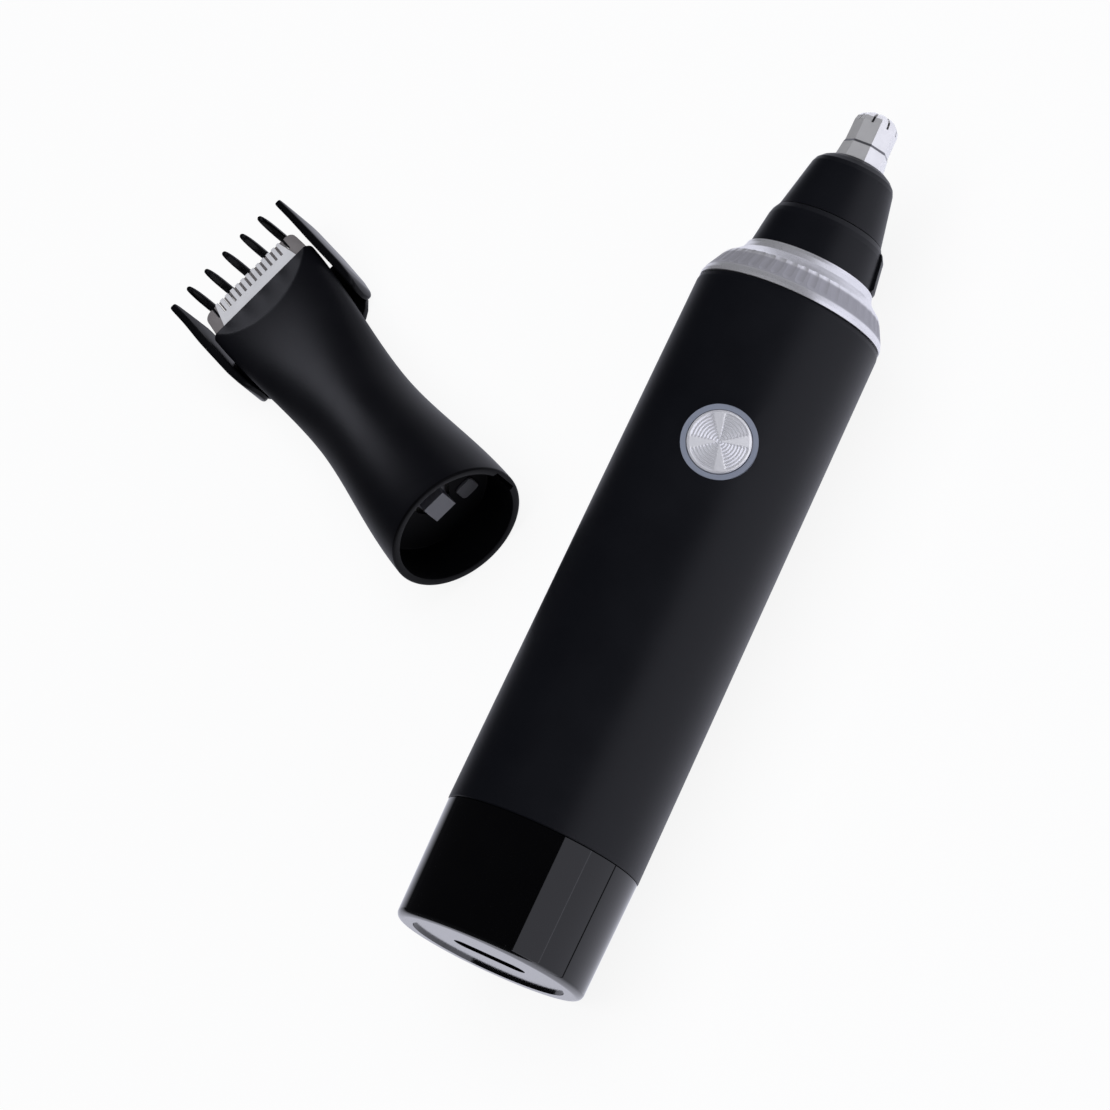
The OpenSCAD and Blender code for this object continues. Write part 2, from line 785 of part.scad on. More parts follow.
module nose_cone() color([0.04, 0.04, 0.045]) in_handle() rotate_extrude()
    polygon(concat([[skirt_in_r, w_neck - skirt_len], [skirt_r - skirt_c_in, w_neck - skirt_len],
                    [skirt_r, w_neck - skirt_len + skirt_c], [skirt_r, w_neck + gap], [cone_r, w_neck + gap]],
                   [for (i = [0 : len(cone_in) - 1]) [cone_r - cone_in[i], w_cone - cone_down[i]]],
                   [[tip_r + cone_lip, w_cone - cone_lip_h], [tip_r + cone_lip - cone_lip_in, w_cone],
                    [throat_r, w_cone], [throat_r, w_cone - throat_h], [skirt_in_r, w_cone - throat_h]]));

module shaft_bush() color([0.85, 0.83, 0.75]) in_handle() difference() {
    translate([0, 0, w_neck + bush_up])
        cylinder(r = skirt_in_r, h = nose_bush_t);
    translate([0, 0, w_neck + bush_up - past])
        cylinder(r = hub_r + play, h = nose_bush_t + 2 * past, $fn = 64);
}

// one band of the octagonal tip, narrowing from the foot inset to the end inset
module tip_band(w0, w1, inset0, inset1) {
    translate([0, 0, w0 - tiny])
        cylinder(r1 = tip_r - inset0, r2 = tip_r - inset1, h = w1 - w0 + tiny, $fn = guard_sides);
}

module cutter_guard() color([0.8, 0.8, 0.81]) in_handle() difference() {
    union() {
        translate([0, 0, guard_foot])
            cylinder(r = throat_r, h = w_cone - guard_foot + past);
        translate([0, 0, guard_foot])
            cylinder(r = skirt_in_r - guard_side, h = w_cone - throat_h - guard_foot);
        rotate([0, 0, guard_turn]) {
            tip_band(w_cone + tiny, w_cone + guard_low, 0, guard_flare);
            tip_band(w_cone + guard_low, w_cone + guard_low + guard_band, guard_flare, guard_in[0]);
            tip_band(w_cone + guard_low + guard_band, total_len - guard_down[0], guard_in[0], guard_in[1]);
            tip_band(total_len - guard_down[0], total_len - guard_down[1], guard_in[1], guard_in[2]);
            tip_band(total_len - guard_down[1], total_len - guard_down[2], guard_in[2], guard_in[3]);
            tip_band(total_len - guard_down[2], total_len, guard_in[3], guard_in[4]);
        }
    }
    translate([0, 0, guard_foot - past])
        cylinder(r = guard_in_r, h = total_len - guard_top - guard_foot + past);
    for (i = [0 : guard_sides - 1])
        rotate([0, 0, guard_turn + 360 * (i + 0.5) / guard_sides])
            translate([slit_in, -slit_w / 2, total_len - slit_deep])
                cube([tip_r, slit_w, slit_deep + past]);
}

module cutter_shaft() color([0.8, 0.8, 0.8]) in_handle() {
    translate([-drive_sq / 2, -drive_sq / 2, w_neck - sq_down])
        cube([drive_sq, drive_sq, sq_down + hub_up + tiny]);
    translate([0, 0, w_neck + hub_up])
        cylinder(r = hub_r, h = hub_len);
    translate([0, 0, w_neck + collar_up])
        cylinder(r = hub_r + collar_w, h = collar_t);
    translate([0, 0, w_neck + cutter_shaft_up])
        cylinder(r = cutter_shaft_r, h = cutter_shaft_len, $fn = 48);
}

// spring: a round wire swept along its curls
echo(spring_gap_mm = coil_gap);
function coil_point(k, j) =
    let (turn = 360 * k / curl_rings, side = 360 * j / wire_sides, rr = coil_r + wire_r * cos(side))
    [rr * cos(turn), rr * sin(turn),
     coil_lo + (coil_hi - coil_lo) * k / (curl_rings * coil_turns) + wire_r * sin(side)];
function coil_ring(k) = [for (j = [0 : wire_sides - 1]) coil_point(k, j)];
function coil_side(k, j) =
    let (a = k * wire_sides + j, b = k * wire_sides + (j + 1) % wire_sides)
    [[a, b, b + wire_sides], [a, b + wire_sides, a + wire_sides]];

module cutter_spring() color([0.7, 0.7, 0.7]) in_handle() polyhedron(
    points = [for (k = [0 : coil_rings]) each coil_ring(k)],
    faces = concat([for (k = [0 : coil_rings - 1]) for (j = [0 : wire_sides - 1]) each coil_side(k, j)],
                   [[for (j = [wire_sides - 1 : -1 : 0]) j]],
                   [[for (j = [0 : wire_sides - 1]) coil_rings * wire_sides + j]]));

module inner_cutter() color([0.75, 0.75, 0.76]) in_handle() difference() {
    translate([0, 0, w_cone + cutter_up])
        cylinder(r = cutter_r, h = tip_h - cutter_short);
    translate([0, 0, w_cone])
        cylinder(r = cutter_shaft_r, h = total_len - cutter_shaft_in - w_cone, $fn = 48);
    for (i = [0 : cutter_wings - 1])
        rotate([0, 0, 360 * i / cutter_wings])
            translate([cutter_shaft_r, cutter_web, w_cone + cutter_up + cutter_floor])
                cube([tip_r, tip_r, tip_h]);
}

// Trimmer head

function smooth(t) = let (c = max(0, min(1, t))) c * c * (3 - 2 * c);
function head_a(v) = v < waist_v
    ? socket_r + (waist_a - socket_r) * smooth(v / waist_v)
    : waist_a + (end_a - waist_a) * smooth((v - waist_v) / (head_len - waist_v));
function head_b(v) = socket_r + (end_b - socket_r) * smooth(v / head_len);
function head_low(v) = socket_r + (end_low - socket_r) * smooth(v / head_len);
function head_c(v) = -drop * smooth(v / head_len);
function head_n(v) = 2 + end_n * smooth((v - waist_v) / (head_len - waist_v));
bush_r = head_b(bush_v + bush_t) + head_c(bush_v + bush_t) - bush_wall;
blade_screw_v = head_len - blade_screw_l;
boss_lo = head_c(blade_screw_v) - head_low(blade_screw_v) + skin;
function power(c, n) = sign(c) * pow(abs(c), 2 / n);
function head_ring(v, off, n) = [for (i = [0 : n - 1])
    let (q = 360 * i / n, e = head_n(v), b = 2 * i < n ? head_b(v) : head_low(v))
    [(head_a(v) - off) * power(cos(q), e), v, head_c(v) + (b - off) * power(sin(q), e)]];
function loft_side(k, i, n) =
    let (a = k * n + i, b = k * n + (i + 1) % n)
    [[a, b, b + n], [a, b + n, a + n]];

// skin of the trimmer head between two stations, drawn in by off
module head_loft(v0, v1, off, steps, n) {
    polyhedron(
        points = [for (k = [0 : steps]) each head_ring(v0 + (v1 - v0) * k / steps, off, n)],
        faces = concat([for (k = [0 : steps - 1]) for (i = [0 : n - 1]) each loft_side(k, i, n)],
                       [[for (i = [n - 1 : -1 : 0]) i]],
                       [[for (i = [0 : n - 1]) steps * n + i]]));
}

// half of space above or below the parting plane
module above_split(side) {
    rotate([-split_deg, 0, 0])
        translate([-far / 2, -far / 2, side > 0 ? 0 : -far])
            cube([far, head_len + far, far]);
}

// hollows shared by both shells
module head_hollows() {
    translate([0, -tiny, 0])
        rod_y(socket_bore_r, socket_depth + tiny);
    rod_y(hub_r + floor_gap, socket_depth + floor_t + past);
    head_loft(socket_depth + floor_t, head_len - nose_t, skin, hollow_steps, hollow_n);
    translate([0, bush_v, 0])
        rod_y(bush_r, bush_t);
    translate([slot_side - end_a, head_len - slot_len, fixed_lo])
        cube([2 * (end_a - slot_side), slot_len + past, lip_lo - fixed_lo]);
    translate([socket_bore_r - key_slot_in, -tiny, -key_slot_w / 2])
        cube([key_slot_in + key_slot_deep, socket_depth, key_slot_w]);
}

module front_shell() color([0.05, 0.05, 0.055]) in_head() difference() {
    intersection() {
        head_loft(0, head_len, 0, loft_n, ring_n);
        above_split(1);
    }
    head_hollows();
    translate([-far / 2, head_len, lip_hi])
        rotate([-facet_deg, 0, 0])
            translate([0, -far / 2, 0])
                cube([far, far, far / 2]);
}

// the two places where the blade screws go in, on the shell's lower inner face
module at_blade_screws() {
    for (side = [-1, 1])
        translate([side * blade_screw_x, blade_screw_v, 0])
            children();
}

module rear_shell() color([0.05, 0.05, 0.055]) in_head() difference() {
    union() {
        difference() {
            intersection() {
                head_loft(0, head_len, 0, loft_n, ring_n);
                above_split(-1);
            }
            head_hollows();
        }
        at_blade_screws()
            translate([0, 0, boss_lo])
                cylinder(r = blade_boss_r, h = fixed_lo - boss_lo);
    }
    at_blade_screws()
        translate([0, 0, fixed_lo - blade_screw_in])
            cylinder(r = blade_screw_r, h = blade_screw_in + past, $fn = 32);
}

module eccentric_bush() color([0.85, 0.83, 0.75]) in_head() difference() {
    translate([0, bush_v, 0])
        rod_y(bush_r, bush_t);
    translate([0, bush_v - past, 0])
        rod_y(hub_r + play, bush_t + 2 * past);
}

// outline of a blade: straight back, teeth along the front
module toothed(half_back, half_front, len, tooth_len, count, corner) {
    pitch = 2 * (half_front - corner) / count;
    difference() {
        union() {
            polygon([[-half_back, 0], [half_back, 0], [half_front, len - corner],
                     [half_front - corner, len], [corner - half_front, len], [-half_front, len - corner]]);
            for (side = [-1, 1])
                translate([side * (half_front - corner), len - corner])
                    circle(r = corner, $fn = 32);
        }
        for (i = [0 : count - 1])
            translate([corner - half_front + pitch * (i + tooth_at), len - tooth_len])
                square([pitch * tooth_gap, tooth_len + past]);
    }
}

module fixed_blade() color([0.6, 0.58, 0.57]) in_head() difference() {
    translate([0, 0, fixed_lo])
        linear_extrude(fixed_t) {
            translate([0, head_len + play])
                toothed(end_a - fixed_side, end_a - fixed_front, fixed_reach, fixed_tooth,
                        teeth, fixed_corner);
            translate([fixed_tail_side - end_a, head_len - fixed_tail])
                square([2 * (end_a - fixed_tail_side), fixed_tail + past / 2]);
        }
    at_blade_screws()
        translate([0, 0, fixed_lo - past])
            cylinder(r = blade_hole_r, h = fixed_t + 2 * past, $fn = 32);
}

module blade_screws() color([0.75, 0.75, 0.75]) in_head() at_blade_screws()
    translate([0, 0, fixed_hi])
        pan_screw(blade_screw_r, fixed_t + blade_screw_in, blade_head_r, blade_head_h);

module blade_spring() color([0.75, 0.75, 0.75]) in_head()
    for (side = [-1, 1])
        translate([side * spring_x - spring_w / 2, head_len - spring_back, fixed_hi]) {
            cube([spring_w, spring_foot, gap + move_t + spring_up + spring_t]);
            translate([0, 0, gap + move_t + spring_up])
                cube([spring_w, spring_l, spring_t]);
        }

module moving_blade() color([0.85, 0.85, 0.86]) in_head() translate([0, 0, move_lo]) linear_extrude(move_t) {
    translate([0, head_len + move_front_gap])
        toothed(end_a - move_side, end_a - move_front, move_reach, move_tooth,
                teeth - move_fewer, move_corner);
    translate([-move_body_a, head_len - move_body_l])
        square([2 * move_body_a, move_body_l + past / 2]);
    translate([-move_tail_a, head_len - move_tail_l])
        square([2 * move_tail_a, move_tail_l - move_body_l + past]);
}

module blade_yoke() color([0.9, 0.9, 0.86]) in_head() difference() {
    union() {
        translate([-yoke_half - yoke_side, yoke_v, blade_top])
            cube([2 * (yoke_half + yoke_side), yoke_t, crank_e + yoke_over - blade_top]);
        translate([-yoke_arm_a, yoke_v, blade_top])
            cube([2 * yoke_arm_a, head_len - yoke_end - yoke_v, yoke_arm_t]);
    }
    translate([-yoke_half, yoke_v - past, -crank_e - pin_r - yoke_gap])
        cube([2 * yoke_half, yoke_t + 2 * past, 4 * (crank_e + pin_r)]);
}

module eccentric_shaft() color([0.85, 0.85, 0.82]) in_head() {
    translate([-drive_sq / 2, socket_depth - crank_sq_out, -drive_sq / 2])
        cube([drive_sq, crank_sq_out + crank_hub_gap + tiny, drive_sq]);
    translate([0, socket_depth + crank_hub_gap, 0])
        rod_y(hub_r, crank_hub_l);
    translate([0, socket_depth + crank_hub_l, 0])
        rod_y(crank_shaft_r, crank_v - socket_depth - crank_hub_l);
    translate([0, crank_v + past - crank_t, 0])
        rod_y(crank_r, crank_t);
    translate([crank_e, crank_v + past - tiny, 0])
        rod_y(pin_r, pin_l);
}

// Comb

// an outline of the comb seen from the side, stood up across the head
module comb_side(shape, thick) {
    rotate([90, 0, 90])
        linear_extrude(thick)
            polygon([for (p = shape) [head_len + p[0], comb_lo + p[1]]]);
}

module comb_guard() color([0.03, 0.03, 0.035]) in_head() {
    translate([0, head_len, comb_lo])
        linear_extrude(comb_plate)
            polygon([[comb_plate_a, 0], [-comb_plate_a, 0], [-comb_plate_a, comb_corner - comb_len],
                     [comb_corner - comb_plate_a, -comb_len], [comb_plate_a - comb_corner, -comb_len],
                     [comb_plate_a, comb_corner - comb_len]]);
    for (i = [0 : fingers - 1])
        translate([(i - (fingers - 1) / 2) * finger_pitch - finger_w / 2, 0, 0])
            comb_side(finger_shape, finger_w);
    for (side = [-1, 1])
        intersection() {
            translate([side * (comb_in + comb_t / 2) - comb_t / 2 - past, 0, 0])
                comb_side(plate_shape, comb_t + 2 * past);
            translate([0, head_len, comb_lo - past])
                linear_extrude(tip_up + 2 * past)
                    polygon([for (p = plate_plan) [side * (comb_in + p[0]), p[1]]]);
        }
}

base_cap();
handle_shell();
trim_ring();
neck();
bezel();
chassis_frame();
battery_cell();
battery_tabs();
battery_leads();
main_board();
switch_body();
status_led();
charge_board();
board_screws();
charge_socket();
charge_tongue();
motor_can();
motor_endbell();
motor_magnets();
motor_terminals();
motor_leads();
motor_screws();
button_cap();
switch_plunger();
motor_shaft();
motor_rotor();
drive_coupling();
nose_cone();
shaft_bush();
cutter_guard();
cutter_shaft();
cutter_spring();
inner_cutter();
front_shell();
rear_shell();
eccentric_bush();
fixed_blade();
blade_screws();
blade_spring();
eccentric_shaft();
moving_blade();
blade_yoke();
comb_guard();
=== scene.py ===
# %% [markdown]
# # A trimmer and its spare head
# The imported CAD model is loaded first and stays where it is. Every later cell only adds looks: a camera,
# light, materials, and a few smoother pieces that stand in for CAD nodes with facets.

# %% Load the frame
import json
import math

import bmesh
import bpy
import numpy as np
from mathutils import Matrix, Vector


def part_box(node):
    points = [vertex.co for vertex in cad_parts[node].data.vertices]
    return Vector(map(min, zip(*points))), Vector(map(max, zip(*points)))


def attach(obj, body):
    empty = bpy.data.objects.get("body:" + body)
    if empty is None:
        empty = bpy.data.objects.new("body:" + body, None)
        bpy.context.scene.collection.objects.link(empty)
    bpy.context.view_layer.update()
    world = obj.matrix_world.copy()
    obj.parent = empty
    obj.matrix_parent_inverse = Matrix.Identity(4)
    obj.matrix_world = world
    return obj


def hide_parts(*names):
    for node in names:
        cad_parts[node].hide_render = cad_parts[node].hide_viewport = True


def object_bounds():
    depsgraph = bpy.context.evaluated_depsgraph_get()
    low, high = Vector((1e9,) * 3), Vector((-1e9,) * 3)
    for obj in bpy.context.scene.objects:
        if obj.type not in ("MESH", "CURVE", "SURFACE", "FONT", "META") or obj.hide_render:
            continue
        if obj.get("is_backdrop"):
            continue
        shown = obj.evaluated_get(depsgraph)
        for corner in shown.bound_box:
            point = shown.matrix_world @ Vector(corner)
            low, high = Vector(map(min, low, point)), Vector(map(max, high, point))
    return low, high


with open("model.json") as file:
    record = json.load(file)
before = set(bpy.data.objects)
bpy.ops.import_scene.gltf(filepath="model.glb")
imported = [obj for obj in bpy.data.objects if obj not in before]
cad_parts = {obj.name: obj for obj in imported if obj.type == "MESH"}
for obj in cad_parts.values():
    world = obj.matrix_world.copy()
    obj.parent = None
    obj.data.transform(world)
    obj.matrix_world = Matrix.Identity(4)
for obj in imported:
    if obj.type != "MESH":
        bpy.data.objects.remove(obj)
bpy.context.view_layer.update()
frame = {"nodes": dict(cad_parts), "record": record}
nodes = frame["nodes"]

# %% [markdown]
# ## Sizes shared with the CAD source
# All sizes below are millimetres and repeat the part's own named values. The handle and the spare head lie
# at different angles on the table. Each has its own frame, in which its form is simple to write, and a
# small function turns such points into the shared frame, in metres.

# %% Sizes and the two local frames
MM = 0.001
BODY_R = 14.5
TOTAL_LEN = 132.95
cap_low, cap_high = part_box("base_cap")
HANDLE_X = (cap_low.x + cap_high.x) / 2 / MM
BUTTON_ROLL = math.radians(31)
HEAD_YAW = math.radians(64.2)
HEAD_X, HEAD_Y = HANDLE_X - 40.8, 58.4 - TOTAL_LEN / 2
SOCKET_R = 10.6
HEAD_LEN = 62.0
W_BUTTON = 77.0


def on_handle(points):
    """Points x, y, w of the handle (w from its base, button at -y) in the shared frame, metres."""
    p = np.atleast_2d(np.asarray(points, float))
    c, s = math.cos(BUTTON_ROLL), math.sin(BUTTON_ROLL)
    x, y = p[:, 0] * c - p[:, 1] * s, p[:, 0] * s + p[:, 1] * c
    return np.stack([HANDLE_X + x, p[:, 2] - TOTAL_LEN / 2, BODY_R - y], 1) * MM


def on_head(points):
    """Points u, v, t of the spare head (across, from socket to blades, up) in the shared frame, metres."""
    p = np.atleast_2d(np.asarray(points, float))
    c, s = math.cos(HEAD_YAW), math.sin(HEAD_YAW)
    x, y = p[:, 0] * c - p[:, 1] * s, p[:, 0] * s + p[:, 1] * c
    return np.stack([HEAD_X + x, HEAD_Y + y, SOCKET_R + p[:, 2]], 1) * MM


def in_head(x, y):
    """Back again: across and along the spare head, in millimetres, of a place x, y in metres."""
    x, y = x / MM - HEAD_X, y / MM - HEAD_Y
    c, s = math.cos(HEAD_YAW), math.sin(HEAD_YAW)
    return x * c + y * s, -x * s + y * c


print("handle base at", on_handle([(0, 0, 0)])[0].round(4), "socket at", on_head([(0, 0, 0)])[0].round(4))

# %% [markdown]
# ## Camera
# The photograph looks down at about 51 degrees from 0.8 m away with a long lens, and the picture is turned
# so that the handle leans to the right. A camera could be aimed by a tracking constraint, but that leaves
# its roll open. So the camera's three axes are built from the angles and written into its matrix.

# %% Camera
CAM_ROLL = math.radians(50.67)
CAM_PLACE = Vector((HANDLE_X * MM + 0.468884, -0.16604, 0.65054))
VIEW_BACK = (0.5976, -0.1925, 0.7783)
LENS, SENSOR = 186.66, 36
back = Vector(VIEW_BACK).normalized()
side0 = Vector((0, 0, 1)).cross(back).normalized()
up0 = back.cross(side0)
side = side0 * math.cos(CAM_ROLL) - up0 * math.sin(CAM_ROLL)
up = side0 * math.sin(CAM_ROLL) + up0 * math.cos(CAM_ROLL)
cam_data = bpy.data.cameras.new("camera")
cam_data.sensor_width = SENSOR
cam_data.sensor_fit = "HORIZONTAL"
cam_data.lens = LENS
cam_data.clip_start, cam_data.clip_end = 0.05, 20
camera = bpy.data.objects.new("camera", cam_data)
bpy.context.scene.collection.objects.link(camera)
camera.matrix_world = Matrix((
    (side.x, up.x, back.x, CAM_PLACE.x),
    (side.y, up.y, back.y, CAM_PLACE.y),
    (side.z, up.z, back.z, CAM_PLACE.z),
    (0, 0, 0, 1)))
bpy.context.scene.camera = camera
print("camera right", [round(c, 3) for c in side], "up", [round(c, 3) for c in up])

# %% [markdown]
# ## Floor and light
# The object lies on a white table without an edge. A plain lit plane would turn grey towards its far side,
# so nine tenths of what the camera sees of it is an even white, and the rest is diffuse, which keeps the
# shadow. Polished parts mirror a table of their own: white on the right, dark on the left, with one thin
# dark line. That isn't how a real white table looks in a mirror. It follows the reflections in the
# photograph.


# %% Floor
def flat_mesh(name, corners):
    mesh = bpy.data.meshes.new(name)
    mesh.from_pydata(corners, [], [tuple(range(len(corners)))])
    obj = bpy.data.objects.new(name, mesh)
    bpy.context.scene.collection.objects.link(obj)
    return obj


def math_node(nt, kind, a, b):
    """One step of arithmetic between sockets or plain numbers."""
    node = nt.nodes.new("ShaderNodeMath")
    node.operation = kind
    for i, value in enumerate((a, b)):
        if isinstance(value, (int, float)):
            node.inputs[i].default_value = value
        else:
            nt.links.new(value, node.inputs[i])
    return node.outputs["Value"]


def mix_color(nt, mask, low, high):
    """A colour that goes from low to high with the mask; both are sockets or plain colours."""
    node = nt.nodes.new("ShaderNodeMix")
    node.data_type = "RGBA"
    nt.links.new(mask, node.inputs["Factor"])
    for socket, value in zip([k for k in node.inputs if k.type == "RGBA"], (low, high)):
        if isinstance(value, tuple):
            socket.default_value = (*value, 1)
        else:
            nt.links.new(value, socket)
    return [k for k in node.outputs if k.type == "RGBA"][0]


COOL = (0.87, 0.88, 1.0)
FAR = 3
FLOOR_TONE = (0.84, 0.84, 0.84, 1)
CAMERA_WHITE = 0.9
RAMP_LEFT, RAMP_RIGHT, RAMP_DARK = -0.10, 0.025, 0.03
EDGE_X, EDGE_HALF, EDGE_TONE = (HANDLE_X + 33.9) * MM, 0.8 * MM, 0.08
floor = flat_mesh("floor", [(-FAR, -FAR, 0), (FAR, -FAR, 0), (FAR, FAR, 0), (-FAR, FAR, 0)])
floor_mat = bpy.data.materials.new("table_white")
floor_mat.use_nodes = True
ft = floor_mat.node_tree
f_diffuse = ft.nodes["Principled BSDF"]
f_diffuse.inputs["Base Color"].default_value = FLOOR_TONE
f_diffuse.inputs["Roughness"].default_value = 0.9
f_diffuse.inputs["Specular IOR Level"].default_value = 0.1
f_path = ft.nodes.new("ShaderNodeLightPath")
f_place = ft.nodes.new("ShaderNodeTexCoord")
f_split = ft.nodes.new("ShaderNodeSeparateXYZ")
ft.links.new(f_place.outputs["Object"], f_split.inputs["Vector"])
f_ramp = ft.nodes.new("ShaderNodeMapRange")
f_ramp.interpolation_type = "SMOOTHSTEP"
f_ramp.inputs["From Min"].default_value = RAMP_LEFT
f_ramp.inputs["From Max"].default_value = RAMP_RIGHT
f_ramp.inputs["To Min"].default_value = RAMP_DARK
f_ramp.inputs["To Max"].default_value = 1.0
ft.links.new(f_split.outputs["X"], f_ramp.inputs["Value"])
camera_ray, mirror_ray = f_path.outputs["Is Camera Ray"], f_path.outputs["Is Glossy Ray"]
f_white = ft.nodes.new("ShaderNodeEmission")
ft.links.new(mix_color(ft, mirror_ray, (1, 1, 1), COOL), f_white.inputs["Color"])
off_edge = math_node(ft, "ABSOLUTE", math_node(ft, "SUBTRACT", f_split.outputs["X"], EDGE_X), 0)
no_edge = math_node(ft, "MAXIMUM", math_node(ft, "GREATER_THAN", off_edge, EDGE_HALF), EDGE_TONE)
mirrored = math_node(ft, "MULTIPLY", f_ramp.outputs["Result"], no_edge)
ft.links.new(math_node(ft, "ADD", camera_ray, math_node(ft, "MULTIPLY", mirror_ray, mirrored)),
             f_white.inputs["Strength"])
f_mix = ft.nodes.new("ShaderNodeMixShader")
even_white = math_node(ft, "ADD", math_node(ft, "MULTIPLY", camera_ray, CAMERA_WHITE), mirror_ray)
ft.links.new(even_white, f_mix.inputs["Fac"])
ft.links.new(f_diffuse.outputs["BSDF"], f_mix.inputs[1])
ft.links.new(f_white.outputs["Emission"], f_mix.inputs[2])
ft.links.new(f_mix.outputs["Shader"], ft.nodes["Material Output"].inputs["Surface"])
floor_mat.cycles.emission_sampling = "NONE"
floor.data.materials.append(floor_mat)
floor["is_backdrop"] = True
print("floor staged,", floor_mat.name)

# %% [markdown]
# The gloss cap in the photograph mirrors a dark room, one tall white panel on the right and the white
# table. So the wide panel overhead, which gives most of the light, is hidden from mirror rays, and the
# world is nearly black to them. A low panel beyond the tip gives the silver ring its even tone. A small
# lamp on the left draws the highlight on the spare head. On the handle it would leave a streak that isn't
# in the photograph, so light linking keeps it to the two shells. The button gets a lamp in the same way
# once its disc is made.


# %% Lights and world
def panel(name, place, target, width, height, white, mirror=True, tint=(1, 1, 1)):
    """A rectangular lamp; white is the brightness of its face, 1 for paper white."""
    data = bpy.data.lights.new(name, "AREA")
    data.shape = "RECTANGLE"
    data.size, data.size_y = width, height
    data.energy = math.pi * width * height * white
    data.color = tint
    obj = bpy.data.objects.new(name, data)
    bpy.context.scene.collection.objects.link(obj)
    obj.location = place
    obj.rotation_euler = (Vector(target) - Vector(place)).to_track_quat("-Z", "Y").to_euler()
    obj.visible_glossy = mirror
    obj.visible_camera = False
    return obj


def light_only(lamp, *pieces):
    """Lets a lamp light these pieces and nothing else, and lets nothing else stand in its way."""
    group = bpy.data.collections.new(lamp.name + "_lit")
    for piece in pieces:
        group.objects.link(piece)
    lamp.light_linking.receiver_collection = group
    lamp.light_linking.blocker_collection = group


panel("panel_right", (1.15, 0.12, 0.357), (0, 0.12, 0.357), 1.9, 0.77, 1.0, tint=COOL)
panel("panel_far", (0.20, 1.15, 0.20), (0.05, 0, 0.2), 1.6, 0.36, 0.8, tint=COOL)
panel("panel_top", (0.05, 0.05, 1.35), (0.05, 0.05, 0), 1.8, 1.8, 2.45, mirror=False, tint=(0.95, 0.96, 1.0))
shell_lamp = panel("panel_shell", (-0.44, 0.125, 0.15), (-0.03, 0.01, 0.01), 0.17, 0.17, 3.2, tint=COOL)

DIM_ROOM = (0.022, 0.022, 0.025, 1)
world = bpy.data.worlds.new("studio")
world.use_nodes = True
wn = world.node_tree
wn.nodes.clear()
w_out = wn.nodes.new("ShaderNodeOutputWorld")
w_mix = wn.nodes.new("ShaderNodeMixShader")
w_dim = wn.nodes.new("ShaderNodeBackground")
w_white = wn.nodes.new("ShaderNodeBackground")
w_path = wn.nodes.new("ShaderNodeLightPath")
w_dim.inputs["Color"].default_value = DIM_ROOM
w_white.inputs["Color"].default_value = (1, 1, 1, 1)
wn.links.new(w_path.outputs["Is Camera Ray"], w_mix.inputs["Fac"])
wn.links.new(w_dim.outputs["Background"], w_mix.inputs[1])
wn.links.new(w_white.outputs["Background"], w_mix.inputs[2])
wn.links.new(w_mix.outputs["Shader"], w_out.inputs["Surface"])
bpy.context.scene.world = world
bpy.context.scene.view_settings.view_transform = "Standard"

# %% [markdown]
# ## Materials
# One helper builds a procedural surface: a coarse noise varies the colour, a fine one varies the roughness
# and gives a slight bump, and a stretch of the fine one makes brushed or ground marks. Image textures would
# do the same, but noise needs no files. Numbers that are the same all over sit on the shader's own sockets.


# %% Material helper
def new_material(name, metal=0.0, specular=0.5):
    mat = bpy.data.materials.new(name)
    mat.use_nodes = True
    bsdf = mat.node_tree.nodes["Principled BSDF"]
    bsdf.inputs["Metallic"].default_value = metal
    bsdf.inputs["Specular IOR Level"].default_value = specular
    return mat, mat.node_tree, bsdf


def place_noise(nt, scale, stretch=(1, 1, 1), turn=0.0, detail=3.0):
    """A noise in metres of the piece's own frame, stretched along its turned axes."""
    coords = nt.nodes.new("ShaderNodeTexCoord")
    mapping = nt.nodes.new("ShaderNodeMapping")
    mapping.inputs["Rotation"].default_value = (0, 0, turn)
    mapping.inputs["Scale"].default_value = stretch
    noise = nt.nodes.new("ShaderNodeTexNoise")
    noise.inputs["Scale"].default_value = scale
    noise.inputs["Detail"].default_value = detail
    nt.links.new(coords.outputs["Object"], mapping.inputs["Vector"])
    nt.links.new(mapping.outputs["Vector"], noise.inputs["Vector"])
    return noise.outputs["Fac"]


def spread(nt, value, low, high, low_in=0.3, high_in=0.7):
    """A 0 to 1 value remapped to the range low to high."""
    node = nt.nodes.new("ShaderNodeMapRange")
    node.inputs["From Min"].default_value = low_in
    node.inputs["From Max"].default_value = high_in
    node.inputs["To Min"].default_value = low
    node.inputs["To Max"].default_value = high
    nt.links.new(value, node.inputs["Value"])
    return node.outputs["Result"]


def two_tone(nt, value, dark, light):
    """A colour between two tones, chosen by a 0 to 1 value."""
    ramp = nt.nodes.new("ShaderNodeValToRGB")
    ramp.color_ramp.elements[0].position = 0.3
    ramp.color_ramp.elements[1].position = 0.7
    ramp.color_ramp.elements[0].color = (*dark, 1)
    ramp.color_ramp.elements[1].color = (*light, 1)
    nt.links.new(value, ramp.inputs["Fac"])
    return ramp.outputs["Color"]


def bump(nt, bsdf, value, depth):
    """Raises the surface by a 0 to 1 value, depth in metres."""
    node = nt.nodes.new("ShaderNodeBump")
    node.inputs["Strength"].default_value = 1.0
    node.inputs["Distance"].default_value = depth
    nt.links.new(value, node.inputs["Height"])
    nt.links.new(node.outputs["Normal"], bsdf.inputs["Normal"])


